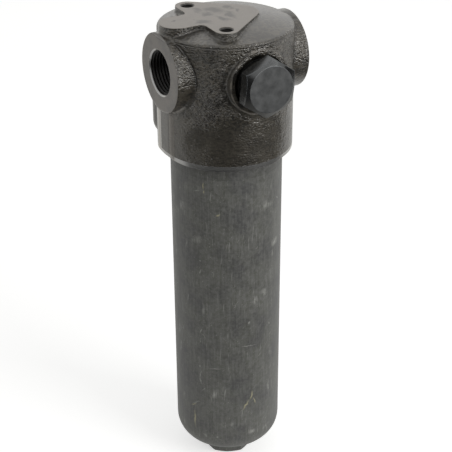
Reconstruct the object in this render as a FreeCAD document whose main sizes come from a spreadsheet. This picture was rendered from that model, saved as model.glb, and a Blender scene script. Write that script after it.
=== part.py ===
import FreeCAD, Part
import math
import os
import Sketcher
from FreeCAD import Placement, Rotation, Vector

# Hydraulic pressure filter, in millimetres.
# The filter axis is Z, with the centre of the mounting face at the origin and the bowl below it.
# The ports lie along X, the inlet towards -X. The indicator plug faces -Y.

# Every driving size: name, value, what it measures.
SIZES = [
    ("total_height", 360.0, "mounting face to the end of the bowl's hexagon"),
    ("head_height", 97.0, "mounting face to the lower rim of the head"),
    ("head_wall", 6.9, "wall of the head's skirt over the bowl's diameter"),
    ("crown_drop", 0.9, "middle of the domed top below the mounting face"),
    ("rim_below_boss", 0.8, "edge of the domed top below the top of a port boss"),
    ("rim_round", 2.5, "rounding between the domed top and the skirt"),
    ("skirt_chamfer", 2.2, "turned cone on the lower outer rim of the head"),
    ("port_drop", 33.0, "port axis below the mounting face"),
    ("port_stand", 3.6, "port faces beyond the skirt"),
    ("port_boss", 54.8, "outside of a port boss"),
    ("port_boss_foot", 2.0, "fillet between the skirt and the front of a port boss"),
    ("port_thread", 30.3, "minor diameter of the port thread"),
    ("port_depth", 21.0, "threaded depth of a port"),
    ("port_mouth", 32.6, "countersink at a port face"),
    ("gallery", 24.0, "drilled gallery behind each port thread"),
    ("flat_stand", 1.3, "flat under a port beyond the skirt"),
    ("flat_width", 14.2, "width of the flat under a port"),
    ("flat_ramp", 2.6, "slanted front side of that flat, both ways"),
    ("flat_edge", 5.0, "rounding between the flat and its slanted side"),
    ("swell_round", 20.0, "rounding of the cast swell behind that flat"),
    ("swell_spread", 60.0, "arc of that rounding in degrees, ending inside the skirt"),
    ("web_boss", 24.0, "cast boss over the inlet web, diameter"),
    ("web_boss_inset", 7.2, "axis of that boss inside the skirt"),
    ("web_boss_turn", 33.3, "that boss from the inlet towards the rear in degrees"),
    ("web_boss_end", 90.0, "lowest point of that boss below the mounting face"),
    ("plug_boss", 44.0, "outside of the indicator boss"),
    ("plug_boss_stand", 0.7, "indicator boss face beyond the skirt"),
    ("plug_boss_foot", 1.6, "fillet between the skirt and the indicator boss"),
    ("recess", 38.2, "spot-faced recess round the plug"),
    ("recess_depth", 3.0, "depth of that recess"),
    ("plug_thread", 25.2, "pitch diameter of the plug thread"),
    ("plug_thread_length", 14.0, "length of the plug thread"),
    ("nose_bore", 17.0, "bore for the plug's nose"),
    ("nose_length", 9.0, "length of that bore"),
    ("nose_end_gap", 1.0, "plug's nose from the end of that bore"),
    ("signal_hole", 4.0, "drilling from the plug's nose to the outlet duct"),
    ("inlet_signal_hole", 2.4, "drilling from the bowl space up to the plug's nose"),
    ("inlet_signal_step", 1.4, "that drilling from the end of the plug thread"),
    ("pad_bury", 2.6, "mounting pad's wall below the edge of the dome"),
    ("pad_draft", 4.0, "draft of the pad wall in degrees"),
    ("pad_foot", 1.2, "fillet between the pad wall and the dome"),
    ("hole_spacing", 56.4, "between the two mounting holes"),
    ("hole_back", 14.6, "mounting holes from the axis towards the inlet"),
    ("mount_hole", 8.5, "tapping diameter of a mounting hole"),
    ("mount_hole_depth", 16.0, "depth of a mounting hole"),
    ("mount_hole_mouth", 10.2, "countersink of a mounting hole"),
    ("lobe_radius", 8.4, "pad lobe round a mounting hole"),
    ("pad_end_radius", 15.8, "round end of the pad towards the outlet"),
    ("pad_end_reach", 23.6, "that end from the filter axis"),
    ("arm_width", 23.6, "pad arm over the inlet port"),
    ("arm_setback", 1.7, "end of that arm behind the port face"),
    ("arm_web", 4.5, "inside rounding between arm and lobes"),
    ("chamber_drop", 8.5, "roof of the upper chamber below the mounting face"),
    ("chamber_floor", 16.0, "floor of the upper chamber below the mounting face"),
    ("chamber_width", 22.0, "width of the upper chamber"),
    ("riser_back", 28.0, "riser from the axis towards the inlet"),
    ("duct", 26.0, "central outlet duct"),
    ("duct_drop", 25.0, "roof of the central duct below the mounting face"),
    ("deck_drop", 60.0, "ceiling of the bowl space below the mounting face"),
    ("web_inner", 7.0, "inlet opening's inner edge from the central duct"),
    ("web_outer", 6.6, "inlet opening's outer edge from the sealing bore"),
    ("web_half_angle", 60.0, "inlet opening, half of its arc in degrees"),
    ("spigot_thread", 32.0, "pitch diameter of the spigot thread"),
    ("spigot_thread_length", 10.0, "length of the spigot thread"),
    ("spigot_hex", 36.0, "spigot hexagon across flats"),
    ("spigot_hex_height", 4.0, "height of the spigot hexagon"),
    ("spigot_nose", 23.0, "outside of the spigot's nose"),
    ("spigot_bore", 17.0, "bore of the spigot"),
    ("spigot_nose_length", 17.5, "length of the nose under the hexagon"),
    ("spigot_lead", 1.0, "lead-in chamfer on the nose"),
    ("bowl_diameter", 80.0, "outside of the bowl"),
    ("bowl_wall", 9.0, "wall of the bowl"),
    ("bowl_thread_step", 1.0, "bowl thread's pitch radius below the bowl's outside"),
    ("bowl_neck_step", 2.4, "sealing bore's radius below the thread's"),
    ("seal_bore_length", 13.0, "length of that sealing bore"),
    ("entry_depth", 4.5, "plain entry at the head's rim"),
    ("entry_clearance", 0.4, "radial clearance of the bowl in that entry"),
    ("thread_clearance", 0.1, "radial clearance of mating threads"),
    ("seal_clearance", 0.1, "radial clearance where a seal bears"),
    ("seat_gap", 0.3, "gap between faces that seat on each other"),
    ("crown_radius", 64.0, "outside crown of the bowl's domed end"),
    ("knuckle_radius", 18.0, "outside knuckle of the domed end"),
    ("foot_height", 7.5, "hexagon below the crown of the dome"),
    ("foot_hex", 36.0, "bowl hexagon across flats"),
    ("foot_bury", 5.5, "how far the hexagon runs up into the dome"),
    ("foot_face", 33.6, "chamfer circle on the end of the bowl's hexagon"),
    ("foot_turn", 1.5, "turn of the bowl's hexagon in degrees"),
    ("foot_fillet", 1.5, "fillet between dome and hexagon"),
    ("chamfer_slope", 0.577, "fall of a hexagon chamfer per unit of radius"),
    ("bowl_groove", 5.8, "width of the bowl's seal groove"),
    ("bowl_groove_start", 3.2, "bowl seal groove below the neck's end"),
    ("bowl_cord", 2.8, "section of the bowl's O-ring"),
    ("backup_width", 1.5, "width of the bowl's backup ring"),
    ("plug_hex", 36.0, "plug hexagon across flats"),
    ("plug_hex_height", 9.5, "height of the plug hexagon"),
    ("plug_face", 32.1, "chamfer circle on the plug"),
    ("plug_collar", 31.6, "collar under the plug hexagon"),
    ("plug_collar_height", 5.2, "collar above the boss face"),
    ("plug_turn", -5.3, "turn of the plug's hexagon in degrees"),
    ("bonded_seal_gap", 0.4, "bonded seal inside the recess, radial"),
    ("bonded_seal_bore_gap", 0.6, "bonded seal outside the plug thread, radial"),
    ("bonded_seal_height", 2.0, "thickness of the plug's bonded seal"),
    ("nose_cord", 1.8, "section of the O-ring on the plug's nose"),
    ("nose_groove", 2.6, "width of that O-ring's groove"),
    ("nose_land", 2.8, "nose below that groove"),
    ("seat_thread", 22.0, "pitch diameter of the bypass seat thread"),
    ("seat_flange", 25.0, "flange of the bypass seat"),
    ("seat_flange_height", 2.5, "height of that flange"),
    ("seat_hole", 12.0, "valve opening in the bypass seat"),
    ("seat_drop", 28.0, "sealing edge below the mounting face"),
    ("cage", 19.2, "outside of the bypass cage"),
    ("cage_bore", 16.0, "inside of the bypass cage"),
    ("cage_end", 47.0, "lower end of the cage below the mounting face"),
    ("window_width", 7.0, "width of a cage window"),
    ("window_height", 9.0, "height of a cage window"),
    ("window_count", 4, "windows round the cage"),
    ("poppet_disc", 15.2, "disc of the bypass poppet"),
    ("poppet_disc_height", 2.0, "thickness of that disc"),
    ("poppet_pilot", 10.6, "pilot of the poppet in the seat"),
    ("poppet_pilot_height", 1.6, "height of that pilot"),
    ("poppet_stem", 4.0, "stem of the bypass poppet"),
    ("poppet_lift", 4.0, "travel of the bypass poppet"),
    ("stem_clearance", 0.2, "radial clearance round the stem"),
    ("guide_height", 1.8, "thickness of the spring guide"),
    ("guide_drop", 43.0, "spring face of the guide below the mounting face"),
    ("guide_hole", 3.0, "flow hole in the spring guide"),
    ("ring_height", 1.0, "thickness of the retaining ring"),
    ("ring_bite", 0.8, "depth of the retaining ring's groove"),
    ("ring_width", 1.8, "radial width of the retaining ring"),
    ("ring_gap", 8.0, "opening of the retaining ring"),
    ("spring_mean", 10.4, "mean diameter of the bypass spring"),
    ("spring_wire", 1.2, "wire of the bypass spring"),
    ("spring_turns", 5.5, "turns of the bypass spring"),
    ("flow_gap", 4.5, "flow space between the end caps and the bowl"),
    ("cap_plate", 2.5, "plate of an end cap"),
    ("cap_rim", 0.8, "wall of an end cap's rim"),
    ("cap_rim_height", 8.0, "height of an end cap's rim"),
    ("cap_hub", 30.0, "hub of the upper end cap"),
    ("hub_length", 17.0, "length of that hub"),
    ("sump", 22.0, "space between the element and the bowl's crown"),
    ("element_cord", 2.0, "section of the element's O-ring"),
    ("element_groove", 2.6, "width of that O-ring's groove"),
    ("element_groove_drop", 10.0, "element O-ring below the cap's upper face"),
    ("core_wall", 1.0, "wall of the perforated core"),
    ("core_hole", 5.0, "hole in the core"),
    ("core_rows", 9, "rows of holes along the core"),
    ("core_columns", 6, "holes round the core"),
    ("pleat_count", 24, "pleats round the element"),
    ("mesh_thickness", 0.25, "wire cloth on each side of the medium"),
    ("medium_thickness", 0.7, "filter medium"),
    ("layer_gap", 0.02, "gap between pleated layers"),
    ("pleat_tip", 2.9, "width of a pleat's outer fold"),
    ("pleat_root", 0.6, "width of a pleat's inner fold"),
    ("clip_wall", 0.35, "sheet of the seam clip"),
    ("clip_depth", 3.6, "depth of the seam clip's legs"),
    ("clip_gap", 0.08, "gap between the seam clip and the fold"),
]

# How far a cut runs past the face that it opens.
PAST = 1.0
# Below this a coordinate counts as lying on an axis.
ZERO = 1e-7
FULL_TURN = 360


class Size:
    """A length that carries its number together with the sheet formula behind it."""

    def __init__(self, value, text):
        self.value = float(value)
        self.text = text

    def join(self, other, sign, number, swap=False):
        other = as_size(other)
        first, second = (other, self) if swap else (self, other)
        return Size(number(first.value, second.value), f"({first.text} {sign} {second.text})")

    def __add__(self, other):
        return self.join(other, "+", lambda a, b: a + b)

    def __radd__(self, other):
        return self.join(other, "+", lambda a, b: a + b, swap=True)

    def __sub__(self, other):
        return self.join(other, "-", lambda a, b: a - b)

    def __rsub__(self, other):
        return self.join(other, "-", lambda a, b: a - b, swap=True)

    def __mul__(self, other):
        return self.join(other, "*", lambda a, b: a * b)

    def __rmul__(self, other):
        return self.join(other, "*", lambda a, b: a * b, swap=True)

    def __truediv__(self, other):
        return self.join(other, "/", lambda a, b: a / b)

    def __neg__(self):
        return Size(-self.value, f"(-1 * {self.text})")

    def __abs__(self):
        return self if self.value >= 0 else -self


def as_size(value):
    """A size as it is, or a plain number as a size."""
    return value if isinstance(value, Size) else Size(value, repr(float(value)))


def root(size):
    """The square root of a size."""
    return Size(math.sqrt(size.value), f"sqrt({size.text})")


def cosine(degrees):
    """The cosine of a size in degrees."""
    return Size(math.cos(math.radians(degrees.value)), f"cos({degrees.text})")


def sine(degrees):
    """The sine of a size in degrees."""
    return Size(math.sin(math.radians(degrees.value)), f"sin({degrees.text})")


class Sheet:
    """The named sizes, read from the spreadsheet, and the radii that follow from them."""

    @property
    def bowl_outside(self):
        """Outer radius of the bowl."""
        return self.bowl_diameter / 2

    @property
    def bowl_inside(self):
        """Inner radius of the bowl."""
        return self.bowl_outside - self.bowl_wall

    @property
    def thread_bore(self):
        """Radius of the head's thread for the bowl."""
        return self.bowl_outside - self.bowl_thread_step

    @property
    def neck_bore(self):
        """Radius of the head's sealing bore over the bowl's neck."""
        return self.thread_bore - self.bowl_neck_step

    @property
    def skirt(self):
        """Outer radius of the head."""
        return self.bowl_outside + self.head_wall

    @property
    def port_face(self):
        """A port face from the filter axis."""
        return self.skirt + self.port_stand

    @property
    def rim_drop(self):
        """Edge of the domed top below the mounting face."""
        return self.port_drop - self.port_boss / 2 + self.rim_below_boss

    @property
    def plug_face_reach(self):
        """The indicator boss's face from the filter axis."""
        return self.skirt + self.plug_boss_stand

    @property
    def web_in(self):
        """Inner radius of the inlet opening."""
        return self.duct / 2 + self.web_inner

    @property
    def web_out(self):
        """Outer radius of the inlet opening."""
        return self.neck_bore - self.web_outer

    @property
    def cap_outside(self):
        """Outer radius of the element's end caps."""
        return self.bowl_inside - self.flow_gap

    @property
    def core_inside(self):
        """Inner radius of the perforated core."""
        return self.cap_hub / 2 + self.thread_clearance

    @property
    def pleat_outer(self):
        """Outer radius of the pleat pack, inside the caps' rims."""
        return self.cap_outside - self.cap_rim - self.seat_gap

    @property
    def pleat_inner(self):
        """Inner radius of the pleat pack, over the core."""
        return self.core_inside + self.core_wall + self.seat_gap

    @property
    def pleat_pack(self):
        """Thickness of the three pleated layers together."""
        return 2 * self.mesh_thickness + self.medium_thickness + 2 * self.layer_gap


def fill_sheet(doc):
    """Write every driving size into the spreadsheet and return them by name."""
    cells = doc.addObject("Spreadsheet::Sheet", "Sizes")
    named = Sheet()
    for row, (name, value, note) in enumerate(SIZES, start=1):
        cells.set(f"A{row}", name)
        cells.set(f"B{row}", str(value))
        cells.set(f"C{row}", note)
        cells.setAlias(f"B{row}", name)
        setattr(named, name, Size(value, f"Sizes.{name}"))
    doc.recompute()
    return named


# Sketches

def sketch_on(body, role, name, shift=(0, 0, 0)):
    """A sketch on one of the body's own origin planes, moved within and off that plane."""
    sketch = body.newObject("Sketcher::SketchObject", name)
    plane = next(f for f in body.Origin.OriginFeatures if f.Role == role)
    sketch.AttachmentSupport = [(plane, "")]
    sketch.MapMode = "FlatFace"
    move = [as_size(part) for part in shift]
    sketch.AttachmentOffset = Placement(Vector(*[part.value for part in move]), Rotation())
    for axis, part in zip("xyz", move):
        sketch.setExpression(f"AttachmentOffset.Base.{axis}", part.text)
    return sketch


def pin(sketch, kind, geometry, point, size):
    """Tie one coordinate of a sketch point to a size."""
    size = as_size(size)
    if abs(size.value) < ZERO:
        axis = -2 if kind == "DistanceX" else -1
        sketch.addConstraint(Sketcher.Constraint("PointOnObject", geometry, point, axis))
        return
    index = sketch.addConstraint(Sketcher.Constraint(kind, -1, 1, geometry, point, size.value))
    sketch.setExpression(f"Constraints[{index}]", size.text)


def pin_point(sketch, geometry, point, across, along):
    """Tie both coordinates of a sketch point."""
    pin(sketch, "DistanceX", geometry, point, across)
    pin(sketch, "DistanceY", geometry, point, along)


def set_radius(sketch, geometry, size):
    """Tie the radius of an arc or circle."""
    index = sketch.addConstraint(Sketcher.Constraint("Radius", geometry, size.value))
    sketch.setExpression(f"Constraints[{index}]", size.text)


def circle(sketch, radius, across=0, along=0):
    """A circle whose centre and radius are tied to sizes."""
    middle = Vector(as_size(across).value, as_size(along).value)
    index = sketch.addGeometry(Part.Circle(middle, Vector(0, 0, 1), radius.value))
    pin_point(sketch, index, 3, across, along)
    set_radius(sketch, index, radius)
    return index


def arc_between(start, end, turn):
    """The minor arc from start to end; a positive turn keeps its centre on the left."""
    chord = end - start
    half = chord.Length / 2
    rise = math.sqrt(max(turn * turn - half * half, 0))
    left = Vector(-chord.y, chord.x).normalize()
    middle = (start + end) * 0.5 + left * (rise if turn > 0 else -rise)
    first, last = (start, end) if turn > 0 else (end, start)
    begin = math.atan2(first.y - middle.y, first.x - middle.x)
    finish = math.atan2(last.y - middle.y, last.x - middle.x)
    if finish < begin:
        finish += 2 * math.pi
    ring = Part.Circle(middle, Vector(0, 0, 1), abs(turn))
    return Part.ArcOfCircle(ring, begin, finish)


def outline(sketch, steps):
    """Draw a closed outline through the steps. A step is (across, along) for a straight run to that
    corner, or (across, along, radius) for an arc to it, positive where it turns left."""
    corners = [Vector(as_size(step[0]).value, as_size(step[1]).value) for step in steps]
    pieces = []
    for number, step in enumerate(steps):
        start, end = corners[number - 1], corners[number]
        if len(step) == 3:
            turn = as_size(step[2])
            index = sketch.addGeometry(arc_between(start, end, turn.value))
            set_radius(sketch, index, abs(turn))
            pieces.append((index, 1, 2) if turn.value > 0 else (index, 2, 1))
        else:
            index = sketch.addGeometry(Part.LineSegment(start, end))
            pieces.append((index, 1, 2))
    for number, (index, first, last) in enumerate(pieces):
        following, meets, _ = pieces[(number + 1) % len(pieces)]
        sketch.addConstraint(Sketcher.Constraint("Coincident", index, last, following, meets))
        pin_point(sketch, index, last, steps[number][0], steps[number][1])


def hexagon(sketch, flats, turn):
    """A hexagon across flats, with one flat facing the given direction in degrees."""
    reach = flats / 2 / cosine(as_size(30))
    corner = [turn + 30 + 60 * number for number in range(6)]
    outline(sketch, [(reach * cosine(a), reach * sine(a)) for a in corner])


# Features of a body

def bound(feature, name, size):
    """Tie a property of a feature to a size."""
    size = as_size(size)
    setattr(feature, name, size.value)
    feature.setExpression(name, size.text)


def revolved(body, name, sketch, axis="V_Axis", cut=False):
    """Turn a sketch round one of its own axes, adding material or cutting it away."""
    feature = body.newObject("PartDesign::Groove" if cut else "PartDesign::Revolution", name)
    feature.Profile = sketch
    feature.ReferenceAxis = (sketch, [axis])
    feature.Angle = FULL_TURN
    return feature


def turned(body, name, role, steps, shift=(0, 0, 0), axis="V_Axis", cut=False):
    """Turn an outline drawn on an origin plane."""
    sketch = sketch_on(body, role, name + "Profile", shift)
    outline(sketch, steps)
    return revolved(body, name, sketch, axis, cut)


def raised(body, name, sketch, length, both=False, back=False):
    """Pad a sketch."""
    feature = body.newObject("PartDesign::Pad", name)
    feature.Profile = sketch
    bound(feature, "Length", length)
    feature.SideType = "Symmetric" if both else "One side"
    feature.Reversed = back
    return feature


def sunk(body, name, sketch, depth, both=False, back=False):
    """Pocket a sketch."""
    feature = body.newObject("PartDesign::Pocket", name)
    feature.Profile = sketch
    bound(feature, "Length", depth)
    feature.SideType = "Symmetric" if both else "One side"
    feature.Reversed = back
    return feature


def around_axis(body, name, original, count):
    """Repeat a feature round the body's own Z axis."""
    pattern = body.newObject("PartDesign::PolarPattern", name)
    pattern.Originals = [original]
    axis = next(f for f in body.Origin.OriginFeatures if f.Role == "Z_Axis")
    pattern.Axis = (axis, [""])
    pattern.Angle = FULL_TURN
    pattern.Occurrences = int(count.value)
    pattern.setExpression("Occurrences", count.text)
    body.Tip = pattern
    return pattern


def edge_names(shape, wanted):
    """The names of the edges whose sampled points all satisfy the test."""
    names = []
    for number, edge in enumerate(shape.Edges, start=1):
        first, last = edge.ParameterRange
        marks = [first + (last - first) * share for share in (0.1, 0.35, 0.6, 0.9)]
        if all(wanted(edge.valueAt(mark)) for mark in marks):
            names.append(f"Edge{number}")
    return names


def dressed(body, kind, name, size, wanted):
    """Round or chamfer the edges that satisfy the test."""
    body.Document.recompute()
    base = body.Tip
    feature = body.newObject(f"PartDesign::{kind}", name)
    feature.Base = (base, edge_names(base.Shape, wanted))
    bound(feature, "Radius" if kind == "Fillet" else "Size", size)
    body.Document.recompute()
    return feature


def near(first, second, slack=0.01):
    """Whether two numbers agree within the slack."""
    return abs(first - second) < slack


def new_body(doc, label):
    """An empty body with its own label."""
    body = doc.addObject("PartDesign::Body", label)
    body.Label = label
    return body


def place(body, shift, rotation=Rotation()):
    """Put a body in its place, tied to sizes."""
    move = [as_size(part) for part in shift]
    body.Placement = Placement(Vector(*[part.value for part in move]), rotation)
    for axis, part in zip("xyz", move):
        body.setExpression(f"Placement.Base.{axis}", part.text)


# The head

def tangent_points(start, start_radius, end, end_radius):
    """Where the outer tangent on the right of two circles touches them, seen from start to end."""
    run = end - start
    lean = math.asin((end_radius - start_radius) / run.Length)
    angle = math.atan2(run.y, run.x) - lean - math.pi / 2
    out = Vector(math.cos(angle), math.sin(angle))
    return start + out * start_radius, end + out * end_radius


def mount_pad_outline(sketch, d):
    """The raised mounting face: an arm over the inlet port, a lobe round each hole, a round end."""
    lobe = d.lobe_radius.value
    end = d.pad_end_radius.value
    half_arm = d.arm_width.value / 2
    web = d.arm_web.value
    side = -d.hole_back.value - lobe
    front = Vector(-d.hole_back.value, -d.hole_spacing.value / 2)
    rear = Vector(-d.hole_back.value, d.hole_spacing.value / 2)
    tip = Vector(d.pad_end_reach.value - end, 0)
    arm = Vector(half_arm + d.arm_setback.value - d.port_face.value, 0)
    rear_web = Vector(side - web, half_arm + web)
    front_web = Vector(side - web, -half_arm - web)
    leave_front, meet_tip = tangent_points(front, lobe, tip, end)
    leave_tip = Vector(meet_tip.x, -meet_tip.y)
    meet_rear = Vector(leave_front.x, -leave_front.y)
    runs = [
        (leave_front, meet_tip, None),
        (meet_tip, leave_tip, tip),
        (leave_tip, meet_rear, None),
        (meet_rear, rear + Vector(-lobe, 0), rear),
        (rear + Vector(-lobe, 0), rear_web + Vector(web, 0), None),
        (rear_web + Vector(web, 0), rear_web + Vector(0, -web), rear_web),
        (rear_web + Vector(0, -web), arm + Vector(0, half_arm), None),
        (arm + Vector(0, half_arm), arm + Vector(0, -half_arm), arm),
        (arm + Vector(0, -half_arm), front_web + Vector(0, web), None),
        (front_web + Vector(0, web), front_web + Vector(web, 0), front_web),
        (front_web + Vector(web, 0), front + Vector(-lobe, 0), None),
        (front + Vector(-lobe, 0), leave_front, front),
    ]
    pieces = []
    for start, finish, middle in runs:
        if middle is None:
            index = sketch.addGeometry(Part.LineSegment(start, finish))
            pieces.append((index, 1, 2))
            continue
        radius = (start - middle).Length
        concave = middle in (rear_web, front_web)
        first, last = (finish, start) if concave else (start, finish)
        begin = math.atan2(first.y - middle.y, first.x - middle.x)
        stop = math.atan2(last.y - middle.y, last.x - middle.x)
        if stop <= begin:
            stop += 2 * math.pi
        ring = Part.Circle(middle, Vector(0, 0, 1), radius)
        index = sketch.addGeometry(Part.ArcOfCircle(ring, begin, stop))
        pieces.append((index, 2, 1) if concave else (index, 1, 2))
    for number, (index, _, last) in enumerate(pieces):
        following, meets, _ = pieces[(number + 1) % len(pieces)]
        sketch.addConstraint(Sketcher.Constraint("Tangent", index, last, following, meets))
    tip_arc, rear_arc, rear_web_arc, arm_arc, front_web_arc, front_arc = 1, 3, 5, 7, 9, 11
    pin_point(sketch, tip_arc, 3, d.pad_end_reach - d.pad_end_radius, 0)
    pin_point(sketch, rear_arc, 3, -d.hole_back, d.hole_spacing / 2)
    pin_point(sketch, front_arc, 3, -d.hole_back, -d.hole_spacing / 2)
    pin_point(sketch, arm_arc, 3, d.arm_width / 2 + d.arm_setback - d.port_face, 0)
    radii = ((tip_arc, d.pad_end_radius), (rear_arc, d.lobe_radius), (front_arc, d.lobe_radius),
             (arm_arc, d.arm_width / 2), (rear_web_arc, d.arm_web), (front_web_arc, d.arm_web))
    for index, radius in radii:
        set_radius(sketch, index, radius)
    for index in (4, 10):
        sketch.addConstraint(Sketcher.Constraint("Vertical", index))
    for index in (6, 8):
        sketch.addConstraint(Sketcher.Constraint("Horizontal", index))


def head_casting(body, d):
    """The outside of the casting: skirt with a domed top, bosses, flats and the mounting pad."""
    skirt = d.skirt
    fall = d.rim_drop - d.crown_drop
    dome = (skirt * skirt + fall * fall) / (2 * fall)
    turned(body, "Skirt", "XZ_Plane", [
        (0, -d.head_height),
        (skirt, -d.head_height),
        (skirt, -d.rim_drop),
        (0, -d.crown_drop, dome),
    ])
    dressed(body, "Fillet", "RimRound", d.rim_round,
            lambda p: near(p.z, -d.rim_drop.value) and near(math.hypot(p.x, p.y), skirt.value))

    boss = sketch_on(body, "YZ_Plane", "PortBossCircle")
    circle(boss, d.port_boss / 2, 0, -d.port_drop)
    raised(body, "PortBosses", boss, 2 * d.port_face, both=True)

    for side, name in ((-1, "Inlet"), (1, "Outlet")):
        side_swell(body, d, side, name)
    turned(body, "RimCone", "XZ_Plane", [
        (skirt - d.skirt_chamfer, -d.head_height),
        (d.port_face, -d.head_height),
        (d.port_face, d.port_stand + d.skirt_chamfer - d.head_height),
    ], cut=True)
    web_boss(body, d)

    plug = sketch_on(body, "XZ_Plane", "PlugBossCircle")
    circle(plug, d.plug_boss / 2, 0, -d.port_drop)
    raised(body, "PlugBoss", plug, d.plug_face_reach)

    pad = sketch_on(body, "XY_Plane", "MountPadOutline")
    mount_pad_outline(pad, d)
    top = raised(body, "MountPad", pad, d.rim_drop + d.pad_bury, back=True)
    bound(top, "TaperAngle", d.pad_draft)
    cast_fillets(body, d)


def cast_fillets(body, d):
    """The rounded feet and rims that the mould gives the bosses, the flats and the pad."""
    drop = d.port_drop.value
    port = d.port_boss.value / 2
    plug = d.plug_boss.value / 2
    skirt = d.skirt.value
    flat = d.flat_width.value / 2

    def on_port_boss(p):
        reach = d.port_face.value - PAST
        return near(math.hypot(p.y, p.z + drop), port) and abs(p.x) < reach

    def on_plug_boss(p):
        return near(math.hypot(p.x, p.z + drop), plug) and p.x < plug - PAST

    dressed(body, "Fillet", "PlugBossFoot", d.plug_boss_foot,
            lambda p: on_plug_boss(p) and p.y > PAST - d.plug_face_reach.value)
    dressed(body, "Fillet", "FlatEdges", d.flat_edge,
            lambda p: near(abs(p.x), skirt + d.flat_stand.value) and near(p.y, -flat))
    dressed(body, "Fillet", "PortBossFeet", d.port_boss_foot,
            lambda p: on_port_boss(p) and p.y < -flat - d.flat_ramp.value)
    dressed(body, "Fillet", "PadFoot", d.pad_foot,
            lambda p: -d.rim_drop.value < p.z < -d.crown_drop.value / 2
            and math.hypot(p.x, p.y) < skirt - d.rim_round.value / 2)


def side_swell(body, d, side, name):
    """The cast swell under one port: a narrow flat, then a rounding back into the skirt."""
    flat = d.skirt + d.flat_stand
    reach = side * flat
    half = d.flat_width / 2
    middle = side * (flat - d.swell_round)
    meet_x = middle + side * d.swell_round * cosine(d.swell_spread)
    meet_y = half + d.swell_round * sine(d.swell_spread)
    sketch = sketch_on(body, "XY_Plane", name + "SwellOutline", (0, 0, -d.head_height))
    inside = reach / 2
    outline(sketch, [
        (inside, -half - d.flat_ramp),
        (reach - side * d.flat_ramp, -half - d.flat_ramp),
        (reach, -half),
        (reach, half),
        (meet_x, meet_y, side * d.swell_round),
        (inside, meet_y),
    ])
    raised(body, name + "Swell", sketch, d.head_height - d.port_drop)


def web_boss(body, d):
    """The round-ended cast boss beside the inlet, where the gallery turns down to the bowl."""
    radius = d.web_boss / 2
    start = -d.web_boss_end
    reach = d.skirt - d.web_boss_inset
    turned(body, "WebBoss", "XZ_Plane", [
        (0, start),
        (radius, start + radius, radius),
        (radius, -d.port_drop),
        (0, -d.port_drop),
    ], shift=(-reach * cosine(d.web_boss_turn), 0, -reach * sine(d.web_boss_turn)))


def head_bores(body, d):
    """Everything machined or cored out of the casting."""
    neck = d.neck_bore
    thread = d.thread_bore
    entry = d.bowl_outside + d.entry_clearance
    duct = d.duct / 2
    spigot = d.spigot_thread / 2
    seat = d.seat_thread / 2
    turned(body, "BowlBore", "XZ_Plane", [
        (0, PAST - d.chamber_floor),
        (seat, PAST - d.chamber_floor),
        (seat, -d.duct_drop),
        (duct, -d.duct_drop),
        (duct, d.spigot_thread_length - d.deck_drop),
        (spigot, d.spigot_thread_length - d.deck_drop),
        (spigot, -d.deck_drop),
        (neck, -d.deck_drop),
        (neck, -d.deck_drop - d.seal_bore_length),
        (thread, -d.deck_drop - d.seal_bore_length - (thread - neck)),
        (thread, d.entry_depth - d.head_height),
        (entry, d.entry_depth - d.head_height),
        (entry, -d.head_height - PAST),
        (0, -d.head_height - PAST),
    ], cut=True)

    half = d.chamber_width / 2
    chamber = sketch_on(body, "XY_Plane", "ChamberOutline", (0, 0, -d.chamber_drop))
    outline(chamber, [
        (0, -half),
        (half, 0, half),
        (0, half, half),
        (-d.riser_back, half),
        (-d.riser_back - half, 0, half),
        (-d.riser_back, -half, half),
    ])
    sunk(body, "UpperChamber", chamber, d.chamber_floor - d.chamber_drop)
    riser = sketch_on(body, "XY_Plane", "RiserCircle", (0, 0, -d.chamber_drop))
    circle(riser, half, -d.riser_back, 0)
    sunk(body, "Riser", riser, d.port_drop - d.chamber_drop)

    web = sketch_on(body, "XY_Plane", "InletWebOutline", (0, 0, -d.deck_drop))
    web_outline(web, d)
    sunk(body, "InletWeb", web, d.deck_drop - d.port_drop, back=True)

    port_bore(body, d, -1, "Inlet", -d.web_in)
    port_bore(body, d, 1, "Outlet", 0)
    plug_bore(body, d)
    mounting_holes(body, d)


def web_outline(sketch, d):
    """The kidney-shaped inlet opening above the bowl."""
    across = cosine(d.web_half_angle)
    up = sine(d.web_half_angle)
    inner, outer = d.web_in, d.web_out
    outline(sketch, [
        (-outer * across, outer * up),
        (-outer, 0, outer),
        (-outer * across, -outer * up, outer),
        (-inner * across, -inner * up),
        (-inner, 0, -inner),
        (-inner * across, inner * up, -inner),
    ])


def port_bore(body, d, side, name, end):
    """One port: countersink, thread and gallery, turned about the port axis."""
    face = side * d.port_face
    mouth = d.port_mouth / 2
    thread = d.port_thread / 2
    gallery = d.gallery / 2
    turned(body, name + "Port", "XZ_Plane", [
        (end, 0),
        (face, 0),
        (face, mouth),
        (face - side * (mouth - thread), thread),
        (face - side * d.port_depth, thread),
        (face - side * (d.port_depth + (thread - gallery)), gallery),
        (end, gallery),
    ], shift=(0, -d.port_drop, 0), axis="H_Axis", cut=True)


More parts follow.
